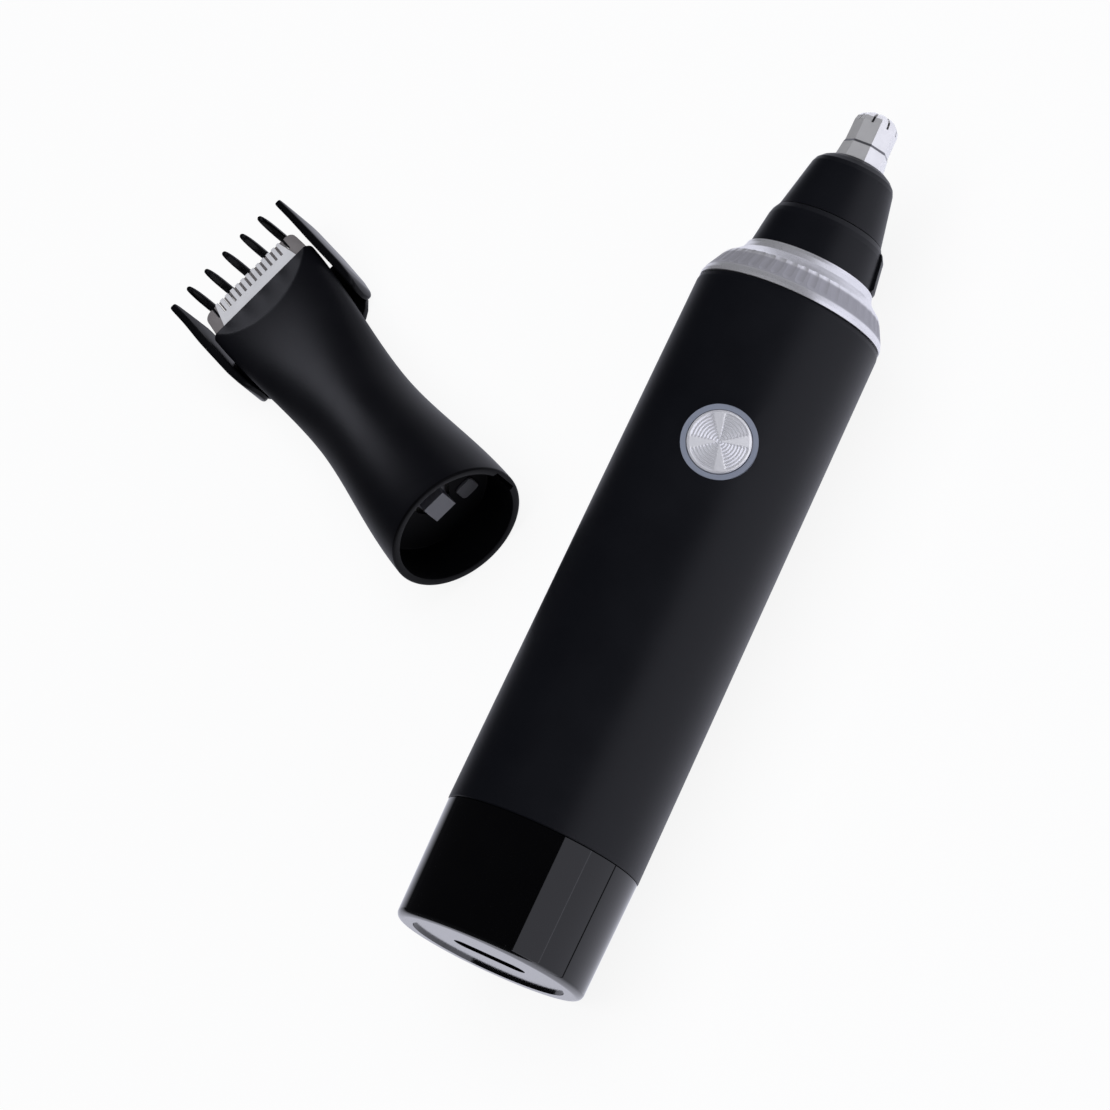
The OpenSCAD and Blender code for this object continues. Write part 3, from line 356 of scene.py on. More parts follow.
def surface(name, color, rough, metal=0.0, specular=0.5, grain=3000.0, deep=4e-6, vary=0.12,
            rough_vary=0.06, stretch=(1, 1, 1), turn=0.0, patch=150.0):
    """A plain procedural material: patches vary the colour, grain varies roughness and gives the bump."""
    mat, nt, bsdf = new_material(name, metal, specular)
    patches = place_noise(nt, patch, detail=4)
    dark = [c * (1 - vary) for c in color]
    light = [min(1, c * (1 + vary)) for c in color]
    nt.links.new(two_tone(nt, patches, dark, light), bsdf.inputs["Base Color"])
    fine = place_noise(nt, grain, stretch, turn, detail=2)
    roughness = spread(nt, fine, max(0.02, rough - rough_vary), rough + rough_vary)
    nt.links.new(roughness, bsdf.inputs["Roughness"])
    bump(nt, bsdf, fine, deep)
    return mat


def opened(mat):
    """The node tree and the shader of a material that gets one more finish."""
    return mat.node_tree, mat.node_tree.nodes["Principled BSDF"]


def feeding(bsdf, name):
    """What is wired to a socket of the shader so far."""
    return bsdf.inputs[name].links[0].from_socket


# %% [markdown]
# The black plastics are the heart of the picture: a soft-touch body with a fine even grain, a gloss cap
# that mirrors the panels, and the half gloss of the spare head and its comb. One function serves for all,
# since only tone, roughness and grain differ. Tiny pale dust specks could be modelled as grains, but at
# this size dots in the colour are enough: the centres of a sparse cell pattern.


# %% Black plastics
def dust(nt, scale, size, share):
    """A mask that is 1 on a few tiny specks: cell centres, kept where the cell's random colour is low."""
    coords = nt.nodes.new("ShaderNodeTexCoord")
    cells = nt.nodes.new("ShaderNodeTexVoronoi")
    cells.inputs["Scale"].default_value = scale
    nt.links.new(coords.outputs["Object"], cells.inputs["Vector"])
    split = nt.nodes.new("ShaderNodeSeparateColor")
    nt.links.new(cells.outputs["Color"], split.inputs["Color"])
    near = math_node(nt, "LESS_THAN", cells.outputs["Distance"], size)
    return math_node(nt, "MULTIPLY", near, math_node(nt, "LESS_THAN", split.outputs["Red"], share))


def black_plastic(name, dark, light, rough, grain, deep, specks, specular=0.5):
    mat, nt, bsdf = new_material(name, 0.0, specular)
    patches = place_noise(nt, PATCHES, detail=5)
    clean = two_tone(nt, patches, dark, light)
    nt.links.new(mix_color(nt, dust(nt, CELLS, SPECK, specks), clean, DUST_TONE), bsdf.inputs["Base Color"])
    fine = place_noise(nt, grain, detail=2)
    nt.links.new(spread(nt, patches, rough[0], rough[1]), bsdf.inputs["Roughness"])
    bump(nt, bsdf, fine, deep)
    return mat


PATCHES, CELLS, SPECK = 90, 420, 0.05
DUST_TONE = (0.30, 0.31, 0.33)
SOFT = black_plastic("soft_black", (0.0036, 0.0039, 0.0054), (0.0050, 0.0054, 0.0072), (0.40, 0.46),
                     7000, 3e-6, 0.010, specular=0.27)
GLOSS = black_plastic("gloss_black", (0.0008, 0.0008, 0.0010), (0.0013, 0.0013, 0.0016), (0.02, 0.045),
                      900, 1.5e-7, 0.010)
# Painted shade: a darker, less shiny copy of the head's black for the bore and the rim of the socket.
SHADE = black_plastic("socket_painted_shade", (0.0014, 0.0014, 0.0017), (0.0022, 0.0022, 0.0027), (0.42, 0.52),
                      5000, 3e-6, 0.030, specular=0.12)
HEAD = black_plastic("head_black", (0.0030, 0.0031, 0.0042), (0.0042, 0.0043, 0.0056), (0.38, 0.44),
                     6000, 4e-6, 0.012, specular=0.15)
COMB = black_plastic("comb_black", (0.0020, 0.0021, 0.0026), (0.0032, 0.0033, 0.0040), (0.26, 0.34),
                     3000, 1e-6, 0.010, specular=0.25)
print("black plastics:", [m.name for m in (SOFT, GLOSS, SHADE, HEAD, COMB)])

# %% [markdown]
# The base of the cap isn't polished like its side: it is finely frosted, so at a low angle it shows the
# table as an even pale grey. A second object could carry that finish, but the cap is one moulding. So its
# material looks at the height along the handle and turns frosted within a millimetre of the base.


# %% Cap with a frosted base
def by_height(nt, start, stop):
    """A mask that goes from 0 to 1 between two heights above the handle's base, in millimetres."""
    place = nt.nodes.new("ShaderNodeTexCoord")
    split = nt.nodes.new("ShaderNodeSeparateXYZ")
    nt.links.new(place.outputs["Object"], split.inputs["Vector"])
    half = TOTAL_LEN / 2
    return spread(nt, split.outputs["Y"], 0.0, 1.0, (start - half) * MM, (stop - half) * MM)


def blend(nt, mask, low, high):
    """A number that goes from low to high with the mask."""
    kept = math_node(nt, "MULTIPLY", low, math_node(nt, "SUBTRACT", 1.0, mask))
    return math_node(nt, "ADD", kept, math_node(nt, "MULTIPLY", mask, high))


FROST_START, FROST_FULL = 0.75, 0.35
PLAIN_IOR, FROST_IOR = 1.5, 1.85
CAP = GLOSS.copy()
CAP.name = "cap_black"
nt, bsdf = opened(CAP)
frost = by_height(nt, FROST_START, FROST_FULL)
frosted = spread(nt, place_noise(nt, 2500), 0.10, 0.16)
nt.links.new(blend(nt, frost, feeding(bsdf, "Roughness"), frosted), bsdf.inputs["Roughness"])
nt.links.new(blend(nt, frost, 0.5, 1.0), bsdf.inputs["Specular IOR Level"])
nt.links.new(blend(nt, frost, PLAIN_IOR, FROST_IOR), bsdf.inputs["IOR"])
print("cap material with", len(nt.nodes), "nodes")

# %% [markdown]
# The ring is turned metal with a satin band of flutes between two brighter edges, and the tip is polished
# steel with a dark line of painted shade where it steps in. Each is one piece, so a mask by height blends the
# ring's two finishes and lays the tip's painted shade, as on the cap. The moving blade is bright and ground
# across, the fixed blade duller and warmer, and the bezel a flat blue-grey lacquer. Metal values below 1
# leave a little plain colour, so that they don't turn black where the dark room is mirrored.

# %% Ring and tip
RING_METAL, FLUTE_METAL = 0.72, 0.35
FLUTE_TONE, FLUTE_ROUGH = (0.36, 0.355, 0.385), 0.40
STEP_PAINTED_SHADE = (0.16, 0.16, 0.17)
RING = surface("satin_silver", (0.86, 0.855, 0.88), 0.29, RING_METAL, grain=9000, deep=1e-7, vary=0.02,
               rough_vary=0.02, patch=300)
nt, bsdf = opened(RING)
fluted = math_node(nt, "MULTIPLY", by_height(nt, 102.0, 102.3), by_height(nt, 105.0, 104.6))
nt.links.new(mix_color(nt, fluted, feeding(bsdf, "Base Color"), FLUTE_TONE), bsdf.inputs["Base Color"])
nt.links.new(blend(nt, fluted, feeding(bsdf, "Roughness"), FLUTE_ROUGH), bsdf.inputs["Roughness"])
nt.links.new(blend(nt, fluted, RING_METAL, FLUTE_METAL), bsdf.inputs["Metallic"])
TIP = surface("tip_steel", (0.92, 0.91, 0.91), 0.17, 0.62, grain=5000, deep=2e-7, vary=0.05,
              rough_vary=0.05, stretch=(6, 1, 6), patch=400)
nt, bsdf = opened(TIP)
# Painted shade: a dark band in the tip's colour along its step.
step_shade_mask = math_node(nt, "MULTIPLY", by_height(nt, 127.48, 127.58), by_height(nt, 127.96, 127.86))
nt.links.new(mix_color(nt, step_shade_mask, feeding(bsdf, "Base Color"), STEP_PAINTED_SHADE), bsdf.inputs["Base Color"])
print("two finishes each:", RING.name, "and", TIP.name)

# %% Other metals and the inner parts
BLADE = surface("blade_steel", (0.84, 0.84, 0.86), 0.36, 0.3, grain=6000, deep=3e-7, vary=0.04,
                rough_vary=0.06, stretch=(10, 1, 1), turn=-HEAD_YAW, patch=400)
FIXED = surface("fixed_steel", (0.36, 0.335, 0.335), 0.40, 0.5, grain=6000, deep=4e-7, vary=0.07,
                rough_vary=0.06, stretch=(10, 1, 1), turn=-HEAD_YAW, patch=400)
BEZEL = surface("grey_bezel", (0.235, 0.258, 0.318), 0.38, 0.2, grain=6000, deep=5e-7, vary=0.04)
HUB = surface("hub_grey", (0.28, 0.28, 0.31), 0.40, grain=4000, deep=1e-6, vary=0.06)
# Painted shade: a near-black copy of steel for the cutter inside the tip, which lies in shadow.
SHADED_CUTTER = surface("cutter_painted_shade", (0.07, 0.07, 0.075), 0.34, 0.6, grain=5000, deep=4e-7)
# Painted shade: the pad's grey is a darker copy of the drive square's, deep in the socket.
SHADED_PAD = surface("pad_painted_shade", (0.17, 0.17, 0.185), 0.40, grain=4000, deep=1e-6, vary=0.06)
slots = {
    "gloss_black": GLOSS, "soft_black": SOFT, "satin_silver": RING, "tip_steel": TIP, "blade_steel": BLADE,
    "fixed_steel": FIXED, "grey_bezel": BEZEL,
    "inner_plastic": surface("inner_plastic", (0.62, 0.61, 0.57), 0.42, grain=2500, deep=4e-6),
    "board_green": surface("board_green", (0.03, 0.16, 0.07), 0.35, grain=1800, deep=6e-6, vary=0.25),
    "cell_wrap": surface("cell_wrap", (0.05, 0.22, 0.17), 0.28, grain=1200, deep=8e-6),
    "nickel": surface("nickel", (0.62, 0.60, 0.56), 0.27, 1.0, grain=2500, deep=2e-6, stretch=(1, 6, 1)),
    "brass_part": surface("brass_part", (0.72, 0.52, 0.22), 0.28, 1.0, grain=2500, deep=2e-6),
    "copper_wire": surface("copper_wire", (0.42, 0.03, 0.02), 0.45, grain=1500, deep=5e-6),
    "magnet_dark": surface("magnet_dark", (0.05, 0.05, 0.055), 0.5, 0.6, grain=4000, deep=8e-6, vary=0.3),
    "winding": surface("winding", (0.50, 0.20, 0.07), 0.3, 0.8, grain=1500, deep=2e-5, stretch=(1, 9, 1)),
    "spun_silver": surface("spun_silver_plain", (0.7, 0.7, 0.71), 0.3, 1.0),
}
print("slots with a material:", len(slots))

# %% [markdown]
# The part's record names a material slot for every CAD node, inside and out. A loop hands each node its
# slot's material, which keeps later changes in one place. The crank's square end and the cap then get a
# finish of their own. The cutter inside the tip gets a near-black steel: painted shade, as it lies in
# shadow behind the slots.

# %% Every CAD node takes the material of its slot
node_slot = {r["node"]: r["material_slot"] for r in frame["record"]["subparts"]}
for name, obj in nodes.items():
    obj.data.materials.clear()
    obj.data.materials.append(slots[node_slot[name]])
nodes["eccentric_shaft"].data.materials[0] = HUB
nodes["base_cap"].data.materials[0] = CAP
# The cutter's near-black steel is painted shade.
nodes["inner_cutter"].data.materials[0] = SHADED_CUTTER
print("materials set on", len(nodes), "nodes")

# %% [markdown]
# ## Mesh helpers
# New pieces are grids of points: a function gives the rows, the helper joins them with quads, shades them
# smoothly and keeps real corners sharp. Each piece then rides on a CAD body, and all but the pad and the
# bumps replace a CAD node.


# %% Mesh helpers
def grid_faces(rows, cols, wrap=False, start=0):
    last = cols if wrap else cols - 1
    return [(start + r * cols + c, start + r * cols + (c + 1) % cols,
             start + (r + 1) * cols + (c + 1) % cols, start + (r + 1) * cols + c)
            for r in range(rows - 1) for c in range(last)]


def make_piece(name, points, faces, mat, body, node, corner=35.0, local=None):
    """A mesh piece in the shared frame that rides on a body and stands for a CAD node, if one is named."""
    mesh = bpy.data.meshes.new(name)
    mesh.from_pydata([tuple(p) for p in points], [], faces)
    bm = bmesh.new()
    bm.from_mesh(mesh)
    bmesh.ops.remove_doubles(bm, verts=bm.verts, dist=1e-7)
    bmesh.ops.recalc_face_normals(bm, faces=bm.faces)
    bm.to_mesh(mesh)
    bm.free()
    mesh.polygons.foreach_set("use_smooth", [True] * len(mesh.polygons))
    mesh.set_sharp_from_angle(angle=math.radians(corner))
    mesh.materials.append(mat)
    obj = bpy.data.objects.new(name, mesh)
    bpy.context.scene.collection.objects.link(obj)
    if local is not None:
        obj.matrix_world = local
    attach(obj, body)
    if node:
        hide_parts(node)
    print(name, "has", len(mesh.vertices), "points")
    return obj


# %% [markdown]
# ## Spare head
# The spare head is a hollow grip of two moulded shells. A subdivided box could be pulled into that form,
# but its waist and its parting line would be hard to place. So the shells are lofts: an oval that narrows
# to a waist, flattens towards the blades and drops to the table. Each row of points is one section, cut
# where it meets the parting plane, so the two shells meet in a thin dark line.

# %% Form of the spare head
WAIST_V, WAIST_A, END_A, END_B, END_LOW, END_N, DROP = 29.5, 8.4, 10.3, 3.1, 5.9, 0.2, 3.3
SPLIT_SLOPE = 3.70 / HEAD_LEN
LIP_LO, LIP_HI, FIXED_LO = -2.25, -1.90, -3.95
FACET = math.tan(math.radians(18))
BORE_R, BORE_DEPTH, HUB_R = 9.4, 7.4, 3.0
KEY_R, KEY_HALF = 9.9, 2.4


def ease(t):
    c = np.clip(t, 0, 1)
    return c * c * (3 - 2 * c)


def head_form(v):
    """Half width, height above and below the widest line, that line's height, and squareness at station v."""
    front, fall = ease((v - WAIST_V) / (HEAD_LEN - WAIST_V)), ease(v / HEAD_LEN)
    if v < WAIST_V:
        a = SOCKET_R + (WAIST_A - SOCKET_R) * ease(v / WAIST_V)
    else:
        a = WAIST_A + (END_A - WAIST_A) * front
    return (a, SOCKET_R + (END_B - SOCKET_R) * fall, SOCKET_R + (END_LOW - SOCKET_R) * fall, -DROP * fall,
            2 + END_N * front)


def half_ring(a, b, low, c, n, cut, upper, count):
    """Evenly spaced points u, t along the part of an oval above or below the height cut."""
    s0 = np.clip((cut - c) / (b if cut > c else low), -1, 1)
    q0 = math.asin(math.copysign(abs(s0) ** (n / 2), s0))
    q = np.linspace(q0, math.pi - q0, 900) if upper else np.linspace(q0 + 2 * math.pi, math.pi - q0, 900)
    cq, sq = np.cos(q), np.sin(q)
    u = a * np.sign(cq) * np.abs(cq) ** (2 / n)
    t = c + np.where(sq > 0, b, low) * np.sign(sq) * np.abs(sq) ** (2 / n)
    run = np.concatenate([[0], np.cumsum(np.hypot(np.diff(u), np.diff(t)))])
    even = np.linspace(0, run[-1], count)
    return np.interp(even, run, u), np.interp(even, run, t)


print("half width at the waist", round(float(head_form(WAIST_V)[0]), 2), "mm, at the blades", END_A, "mm")

# %% [markdown]
# A shell is more than its outside: the socket has a wall and a floor, and the front has a slot for the
# blades. So the rows run from the hole in the socket's floor along the bore, round the rim, forward over
# the outside and back into the blade slot. In the bore the shells overlap by a hair, so that no light shows
# through the wall. The upper shell is planed off in front, which leaves the flat facet behind the blades.

# %% Rows of one shell, from the socket's floor round the rim to the blade slot
PART_GAP, BORE_LAP = 0.05, 0.02
RIM_ROUND = 0.35
FACET_BLEND = 0.10
SLOT_HALF, SLOT_DEEP = 7.8, 5


def shell_rows(upper, count=169):
    side = 1 if upper else -1
    rows = []

    def add(v, u, t, tuck):
        rows.append((np.full(count, float(v)), u, t, tuck))

    def ring(v, r, tuck):
        cut = -SPLIT_SLOPE * v - side * BORE_LAP
        u, t = half_ring(r, r, r, 0.0, 2.0, cut, upper, count)
        if HUB_R < r < KEY_R:
            u = np.where((u > 0) & (np.abs(t) < KEY_HALF), KEY_R, u)
        add(v, u, t, tuck)

    ring(BORE_DEPTH, HUB_R, 0.0)
    ring(BORE_DEPTH, BORE_R - 0.3, 0.0)
    ring(BORE_DEPTH - 0.1, BORE_R - 0.08, -0.3)
    for v in np.linspace(BORE_DEPTH - 0.35, 0.3, 8):
        ring(v, BORE_R, -0.3)
    ring(0.1, BORE_R + 0.06, -0.3)
    ring(0.0, BORE_R + 0.25, 0.0)
    ring(0.0, SOCKET_R - 0.36, 0.0)
    for f in np.radians([15, 35, 55, 75]):
        ring(RIM_ROUND * (1 - math.cos(f)), SOCKET_R - RIM_ROUND * (1 - math.sin(f)), 0.3)
    stations = np.concatenate([np.linspace(0.36, 52, 60), np.arange(52.2, HEAD_LEN, 0.14), [HEAD_LEN]])
    for v in stations:
        a, b, low, c, n = head_form(v)
        u, t = half_ring(a, b, low, c, n, -SPLIT_SLOPE * v + side * PART_GAP, upper, count)
        if upper:
            plane = LIP_HI + (HEAD_LEN - v) * FACET
            h = np.clip(0.5 + 0.5 * (plane - t) / FACET_BLEND, 0, 1)
            t = plane * (1 - h) + t * h - FACET_BLEND * h * (1 - h)
        add(v, u, t, 0.9)
    inner_t = np.minimum(t, LIP_LO) if upper else np.maximum(t, FIXED_LO)
    for v in (HEAD_LEN, HEAD_LEN - SLOT_DEEP):
        add(v, np.clip(u, -SLOT_HALF, SLOT_HALF), inner_t, 0.0)
    return rows


def build_shell(name, node, upper):
    rows = shell_rows(upper)
    points = []
    for v, u, t, tuck in rows:
        right, left = u[0] - tuck * np.sign(u[0]), u[-1] - tuck * np.sign(u[-1])
        row = np.stack([np.concatenate([[right], u, [left]]), np.concatenate([v[:1], v, v[:1]]),
                        np.concatenate([t[:1], t, t[-1:]])], 1)
        points.append(row)
    cols = len(points[0])
    return make_piece(name, on_head(np.concatenate(points)), grid_faces(len(points), cols), HEAD,
                      "trimmer_head", node, corner=28)


upper_shell = build_shell("upper_shell", "front_shell", True)
lower_shell = build_shell("lower_shell", "rear_shell", False)
light_only(shell_lamp, upper_shell, lower_shell)

# %% [markdown]
# The socket's mouth and inside take a deeper, less shiny black than the soft outside: painted shade inside
# the socket and on its rim. Both shells carry two materials, and the faces of the rim and the bore take the
# second one. On the socket's floor beside the drive square lies a small pale pad, seen in the photograph as a
# second light patch. Its grey is a darker copy of the drive square's, painted shade deep in the socket. It is
# a square with round corners, which a few rings of points give more simply than a box with a bevel.

# %% Painted shade in the socket, and its pad
for obj in (upper_shell, lower_shell):
    obj.data.materials.append(SHADE)
    centre = np.array([obj.data.polygons[i].center for i in range(len(obj.data.polygons))])
    u, v = in_head(centre[:, 0], centre[:, 1])
    z = centre[:, 2] / MM - SOCKET_R
    inside = (v < BORE_DEPTH + 0.1) & ((np.hypot(u, z) < BORE_R + 0.7) | (v < 0.25))
    obj.data.polygons.foreach_set("material_index", inside.astype(np.int32))
    print(obj.name, "dark faces", int(inside.sum()))

PAD_U, PAD_T, PAD_HALF = 4.4, -3.9, 1.55
PAD_SQUARE, PAD_FLAT, PAD_TURNS = 0.4, 0.9, 24
pad_rings = ((PAD_HALF, BORE_DEPTH + 0.05), (PAD_HALF, BORE_DEPTH - 0.3), (1.45, BORE_DEPTH - 0.4),
             (0.0, BORE_DEPTH - 0.4))


def squared(value):
    """A sine or cosine pushed outwards, which turns a circle into a rounded square."""
    return math.copysign(abs(value) ** PAD_SQUARE, value)


points = []
for half, v in pad_rings:
    for k in range(PAD_TURNS):
        q = 2 * math.pi * k / PAD_TURNS
        points.append((PAD_U + half * squared(math.cos(q)), v,
                       PAD_T + half * PAD_FLAT * squared(math.sin(q))))
# The pad's darker grey is painted shade.
make_piece("socket_pad", on_head(points), grid_faces(len(pad_rings), PAD_TURNS, wrap=True), SHADED_PAD,
           "trimmer_head", None)

# %% [markdown]
# Each side of the lower shell has a small round bump that the comb snaps over. A squashed ball would do,
# but half of it would be hidden in the shell. A few rings of points make only the low dome that shows.

# %% Clip bumps
BUMP_U, BUMP_V, BUMP_T, BUMP_R, BUMP_HIGH = 9.62, 57, -5.2, 0.75, 0.62
BUMP_RINGS, BUMP_TURNS = 7, 28


def dome_points(side):
    out = []
    for k in range(BUMP_RINGS):
        f = k / (BUMP_RINGS - 1) * math.pi / 2
        for j in range(BUMP_TURNS):
            q = 2 * math.pi * j / BUMP_TURNS
            out.append((side * (BUMP_U + BUMP_HIGH * math.sin(f)),
                        BUMP_V + BUMP_R * math.cos(f) * math.cos(q),
                        BUMP_T + BUMP_R * math.cos(f) * math.sin(q)))
    return out


points, faces = [], []
for side in (-1, 1):
    faces += grid_faces(BUMP_RINGS, BUMP_TURNS, wrap=True, start=len(points))
    points += dome_points(side)
make_piece("clip_bumps", on_head(points), faces, HEAD, "trimmer_head", None)

# %% [markdown]
# ## Comb
# The comb is one moulding: a floor under the head, five slim prongs that bend up in front of the blades,
# and two side plates that rise to a horn. A cut-out with a bevel would leave flat-looking prongs, so each
# form is a row of rounded sections along a path.


# %% Rounded section helper
def rounded_section(half_w, half_h, r, per_corner=5):
    """A closed rounded rectangle, counted round from the lower right."""
    r = min(r, half_w * 0.999, half_h * 0.999)
    out = []
    for k, (sx, sy) in enumerate(((1, -1), (1, 1), (-1, 1), (-1, -1))):
        for j in range(per_corner):
            q = math.pi / 2 * (k - 1 + j / (per_corner - 1))
            out.append((sx * (half_w - r) + r * math.cos(q), sy * (half_h - r) + r * math.sin(q)))
    return out


def loft(sections, start):
    """Faces that join equal closed sections, with both ends closed."""
    cols = len(sections[0])
    faces = grid_faces(len(sections), cols, wrap=True, start=start)
    faces.append(tuple(start + i for i in range(cols - 1, -1, -1)))
    faces.append(tuple(start + (len(sections) - 1) * cols + i for i in range(cols)))
    return faces


# %% [markdown]
# A prong leaves the floor flat, bends up in front of the blades and thins to a blunt point. A bent bar
# would keep one thickness, so the table below gives the depth and width at each point of the path.

# %% Prongs of the comb
COMB_LO, COMB_IN, PITCH = -10.6, 10.4, 3.8
PRONG_ROUND = 0.48
comb_points, comb_faces = [], []


def add_loft(sections):
    comb_faces.extend(loft(sections, len(comb_points)))
    for ring in sections:
        comb_points.extend(ring)


# path of a prong: ahead of the front edge, height, depth across the path, width
prong = np.array([(-4, 0.56, 1.06, 1.2), (0, 0.56, 1.06, 1.2), (3, 0.62, 1.15, 1.2), (5.0, 1.05, 1.5, 1.2),
                  (6.3, 2.2, 1.8, 1.2), (6.85, 3.9, 1.9, 1.22), (6.95, 6, 1.9, 1.24), (6.95, 8, 1.88, 1.24),
                  (6.88, 10, 1.7, 1.2), (6.78, 11.4, 1.42, 1.08), (6.7, 12.3, 1.12, 0.96),
                  (6.65, 12.85, 0.86, 0.8), (6.62, 13.1, 0.55, 0.52), (6.61, 13.18, 0.16, 0.16)])
length = np.concatenate([[0], np.cumsum(np.hypot(np.diff(prong[:, 0]), np.diff(prong[:, 1])))])
fine = np.concatenate([np.linspace(0, length[-3], 34), np.linspace(length[-3], length[-1], 6)[1:]])
path = np.stack([np.interp(fine, length, prong[:, k]) for k in range(4)], 1)
heading = np.gradient(path[:, :2], axis=0)
heading /= np.linalg.norm(heading, axis=1, keepdims=True)
for i in range(-2, 3):
    sections = []
    for (v, h, deep, wide), (dv, dh) in zip(path, heading):
        ring = rounded_section(wide / 2, deep / 2, PRONG_ROUND)
        sections.append([(i * PITCH + x, HEAD_LEN + v - y * dh, COMB_LO + h + y * dv) for x, y in ring])
    add_loft(sections)
print("points in the prongs:", len(comb_points))

# %% [markdown]
# The side plates are thin walls that start low and round at the rear, rise along a wavy edge and end in a
# horn. Each is a row of upright sections. Four tables give the edges and faces by distance ahead of the
# front edge, and a short running mean rounds off the kinks between their points.

# %% Side plates of the comb
PLATE_REAR, PLATE_FRONT, PLATE_ROUND = 10.19, 8.475, 0.34
plate_low = [(-10.2, 2.6), (-10.1, 1.5), (-9.7, 0.5), (-8.9, 0.02), (7.3, 0.02), (8.2, 0.5), (8.48, 1.35)]
plate_high = [(-10.2, 2.7), (-10.0, 4.2), (-9.4, 5.5), (-8.3, 6.7), (-6.6, 7.8), (-4, 9.0), (-2, 9.9),
              (0, 10.6), (2.5, 11.1), (4.0, 11.5), (5.4, 12.5), (5.9, 12.95), (6.5, 13.05), (7.0, 12.6),
              (7.5, 11.0), (7.9, 8.5), (8.2, 5.0), (8.48, 1.45)]
plate_inner = [(-10.4, 0.0), (-7.8, 0.35), (9.5, 0.35)]
plate_outer = [(-10.4, 0.5), (-9.8, 0.9), (-8.6, 1.4), (-6.4, 1.62), (0, 1.6), (9.5, 1.25)]


def along(table, v):
    xs, ys = zip(*table)
    return float(np.interp(v, xs, ys))


stations = np.concatenate([np.linspace(-PLATE_REAR, -8.4, 16), np.linspace(-8.2, 4.8, 48),
                           np.linspace(5, PLATE_FRONT, 60)])


def eased(table, width=0.45):
    """Edge heights at the stations, with the kinks of the table rounded off."""
    out = []
    for v in stations:
        reach = min(width, v + PLATE_REAR, PLATE_FRONT - v)
        out.append(np.mean([along(table, v + reach * k / 8) for k in range(-8, 9)]))
    return np.array(out)


edges = [eased(t) for t in (plate_low, plate_high, plate_inner, plate_outer)]
for side in (-1, 1):
    sections = []
    for v, low, high, inner, outer in zip(stations, *edges):
        ring = rounded_section((outer - inner) / 2, max(0.02, (high - low) / 2), PLATE_ROUND)
        mid_u, mid_t = COMB_IN + (inner + outer) / 2, COMB_LO + (low + high) / 2
        sections.append([(side * (mid_u + x), HEAD_LEN + v, mid_t + y) for x, y in ring])
    add_loft(sections)
print("plates are", PLATE_REAR + PLATE_FRONT, "mm long")

# %% [markdown]
# The floor ties prongs and plates together under the head. It is hardly seen, so seven flat sections do.
# Last, the outer faces of the plates are polished more than the rest of the moulding, so they take a second
# material.

# %% Floor of the comb and its finish
FLOOR_MID, FLOOR_HALF, FLOOR_ROUND = 0.55, 0.53, 0.25
OUTSIDE, FACING_OUT = 10.9, 0.6
sections = []
for v, half in ((-11.98, 8.1), (-11.6, 8.75), (-10.8, 9.7), (-9.4, 10.7), (-6, 10.8), (-3, 10.8), (0, 10.8)):
    ring = rounded_section(half, FLOOR_HALF, FLOOR_ROUND)
    sections.append([(x, HEAD_LEN + v, COMB_LO + FLOOR_MID + y) for x, y in ring])
add_loft(sections)
comb = make_piece("comb", on_head(comb_points), comb_faces, COMB, "comb", "comb_guard",
                  corner=40)
comb.data.materials.append(GLOSS)
outer = []
for face in comb.data.polygons:
    u = in_head(face.center.x, face.center.y)[0]
    facing = face.normal.x * math.cos(HEAD_YAW) + face.normal.y * math.sin(HEAD_YAW)
    outer.append(int(abs(u) > OUTSIDE and facing * u > 0 and abs(facing) > FACING_OUT))
comb.data.polygons.foreach_set("material_index", outer)
print("polished outer faces of the comb:", sum(outer))

# %% [markdown]
# ## Button
# The disc is spun metal: fine rings that catch the light in bright wedges. A bump map could fake the rings,
# but they would be lost in the exported mesh, so they are cut into it. The shader's highlight is stretched
# round the axis, and the piece has its own frame, so that the stretch knows its centre. In the photograph
# the rings show in four fans only, with smooth wedges between them, so their depth fades to nothing there.

# %% Spun button
spun, nt, bsdf = new_material("spun_silver", 0.6)
patches = place_noise(nt, 400, detail=3)
nt.links.new(two_tone(nt, patches, (0.87, 0.87, 0.92), (0.92, 0.92, 0.97)), bsdf.inputs["Base Color"])
nt.links.new(spread(nt, place_noise(nt, 1500), 0.19, 0.22), bsdf.inputs["Roughness"])
bsdf.inputs["Anisotropic"].default_value = 0.6
bsdf.inputs["Anisotropic Rotation"].default_value = 0.25
tangent = nt.nodes.new("ShaderNodeTangent")
tangent.direction_type = "RADIAL"
tangent.axis = "Z"
nt.links.new(tangent.outputs["Tangent"], bsdf.inputs["Tangent"])
print("button metal with", len(nt.nodes), "nodes")

# %% Form of the button disc
BODY_LEN, BODY_TOP, TAPER, FACE_UP = 83, 101, 0.56, 0.05
FACE_Y = BODY_R - TAPER + TAPER * (BODY_TOP - W_BUTTON) / BODY_LEN + FACE_UP
RING_PITCH, RING_DEEP, RINGS, RING_STEPS = 0.46, 0.08, 9, 8
FAN_TURN, FAN_HALF, FAN_FADE = 24.5, 12.0, 4
DISC_R, FLANGE_R, POST_R = 4.55, 5.0, 1.4
FLANGE_TOP, FLANGE_LOW, POST_LOW = -1.9, -2.3, -2.85
TURNS = 180


def fan(angle):
    """1 where the rings are cut, 0 on the four smooth wedges between them."""
    off = abs((math.degrees(angle) - FAN_TURN + 45) % 90 - 45)
    return float(ease((off - FAN_HALF) / FAN_FADE))


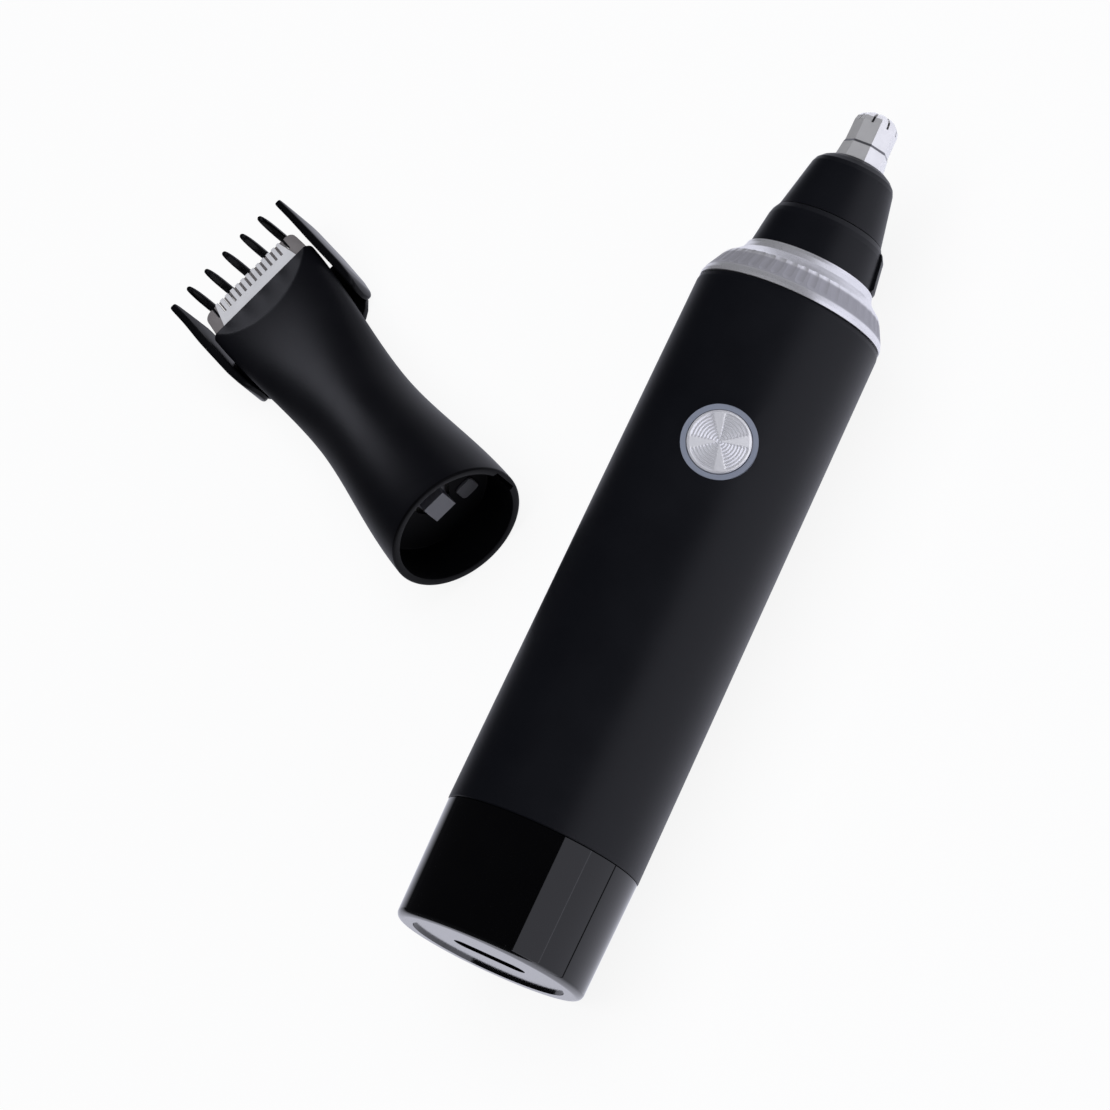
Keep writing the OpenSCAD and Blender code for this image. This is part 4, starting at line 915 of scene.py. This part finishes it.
profile = [(k * RING_PITCH / RING_STEPS, RING_DEEP / 2 * (math.cos(2 * math.pi * k / RING_STEPS) - 1))
           for k in range(RING_STEPS * RINGS + 1)]
grooved = len(profile)
profile += [(4.45, 0.0), (4.52, -0.03), (DISC_R, -0.1), (DISC_R, FLANGE_TOP), (FLANGE_R, FLANGE_TOP),
            (FLANGE_R, FLANGE_LOW), (POST_R, FLANGE_LOW), (POST_R, POST_LOW), (0.0, POST_LOW)]
points = []
for n, (r, z) in enumerate(profile):
    for k in range(TURNS):
        q = 2 * math.pi * k / TURNS
        depth = z * fan(q) if n < grooved else z
        points.append((r * math.cos(q) * MM, r * math.sin(q) * MM, depth * MM))
print("rings cut in the disc:", RINGS, "of", RING_PITCH, "mm")

# %% [markdown]
# The disc looks up and to the right out of the handle. Its frame is built from neighbouring points of the
# handle's frame. A small lamp of its own brightens the disc without lighting the black round it.

# %% Button in its place, with its lamp
centre = Vector(on_handle([(0, -FACE_Y, W_BUTTON)])[0])
axis_x = Vector(on_handle([(1, -FACE_Y, W_BUTTON)])[0]) - centre
axis_y = Vector(on_handle([(0, -FACE_Y, W_BUTTON + 1)])[0]) - centre
axis_x.normalize()
axis_y.normalize()
axis_z = axis_x.cross(axis_y)
out = Vector(on_handle([(0, -FACE_Y - 1, W_BUTTON)])[0]) - centre
if axis_z.dot(out) < 0:
    axis_x, axis_z = -axis_x, -axis_z
spot = Matrix((
    (axis_x.x, axis_y.x, axis_z.x, centre.x),
    (axis_x.y, axis_y.y, axis_z.y, centre.y),
    (axis_x.z, axis_y.z, axis_z.z, centre.z),
    (0, 0, 0, 1)))
button = make_piece("button_disc", points, grid_faces(len(profile), TURNS, wrap=True), spun, "button",
                    "button_cap", corner=40, local=spot)
light_only(panel("panel_button", (0.519, 0.241, 0.626), centre, 0.3, 0.3, 1.0), button)

# %% [markdown]
# ## The size of the visual model is printed.
# The visual model must stay inside the CAD box, so both boxes are written down before the frame is closed.

# %% Size of the visual model
low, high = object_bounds()
print("visual box", [round(1000 * (b - a), 2) for a, b in zip(low, high)], "mm")
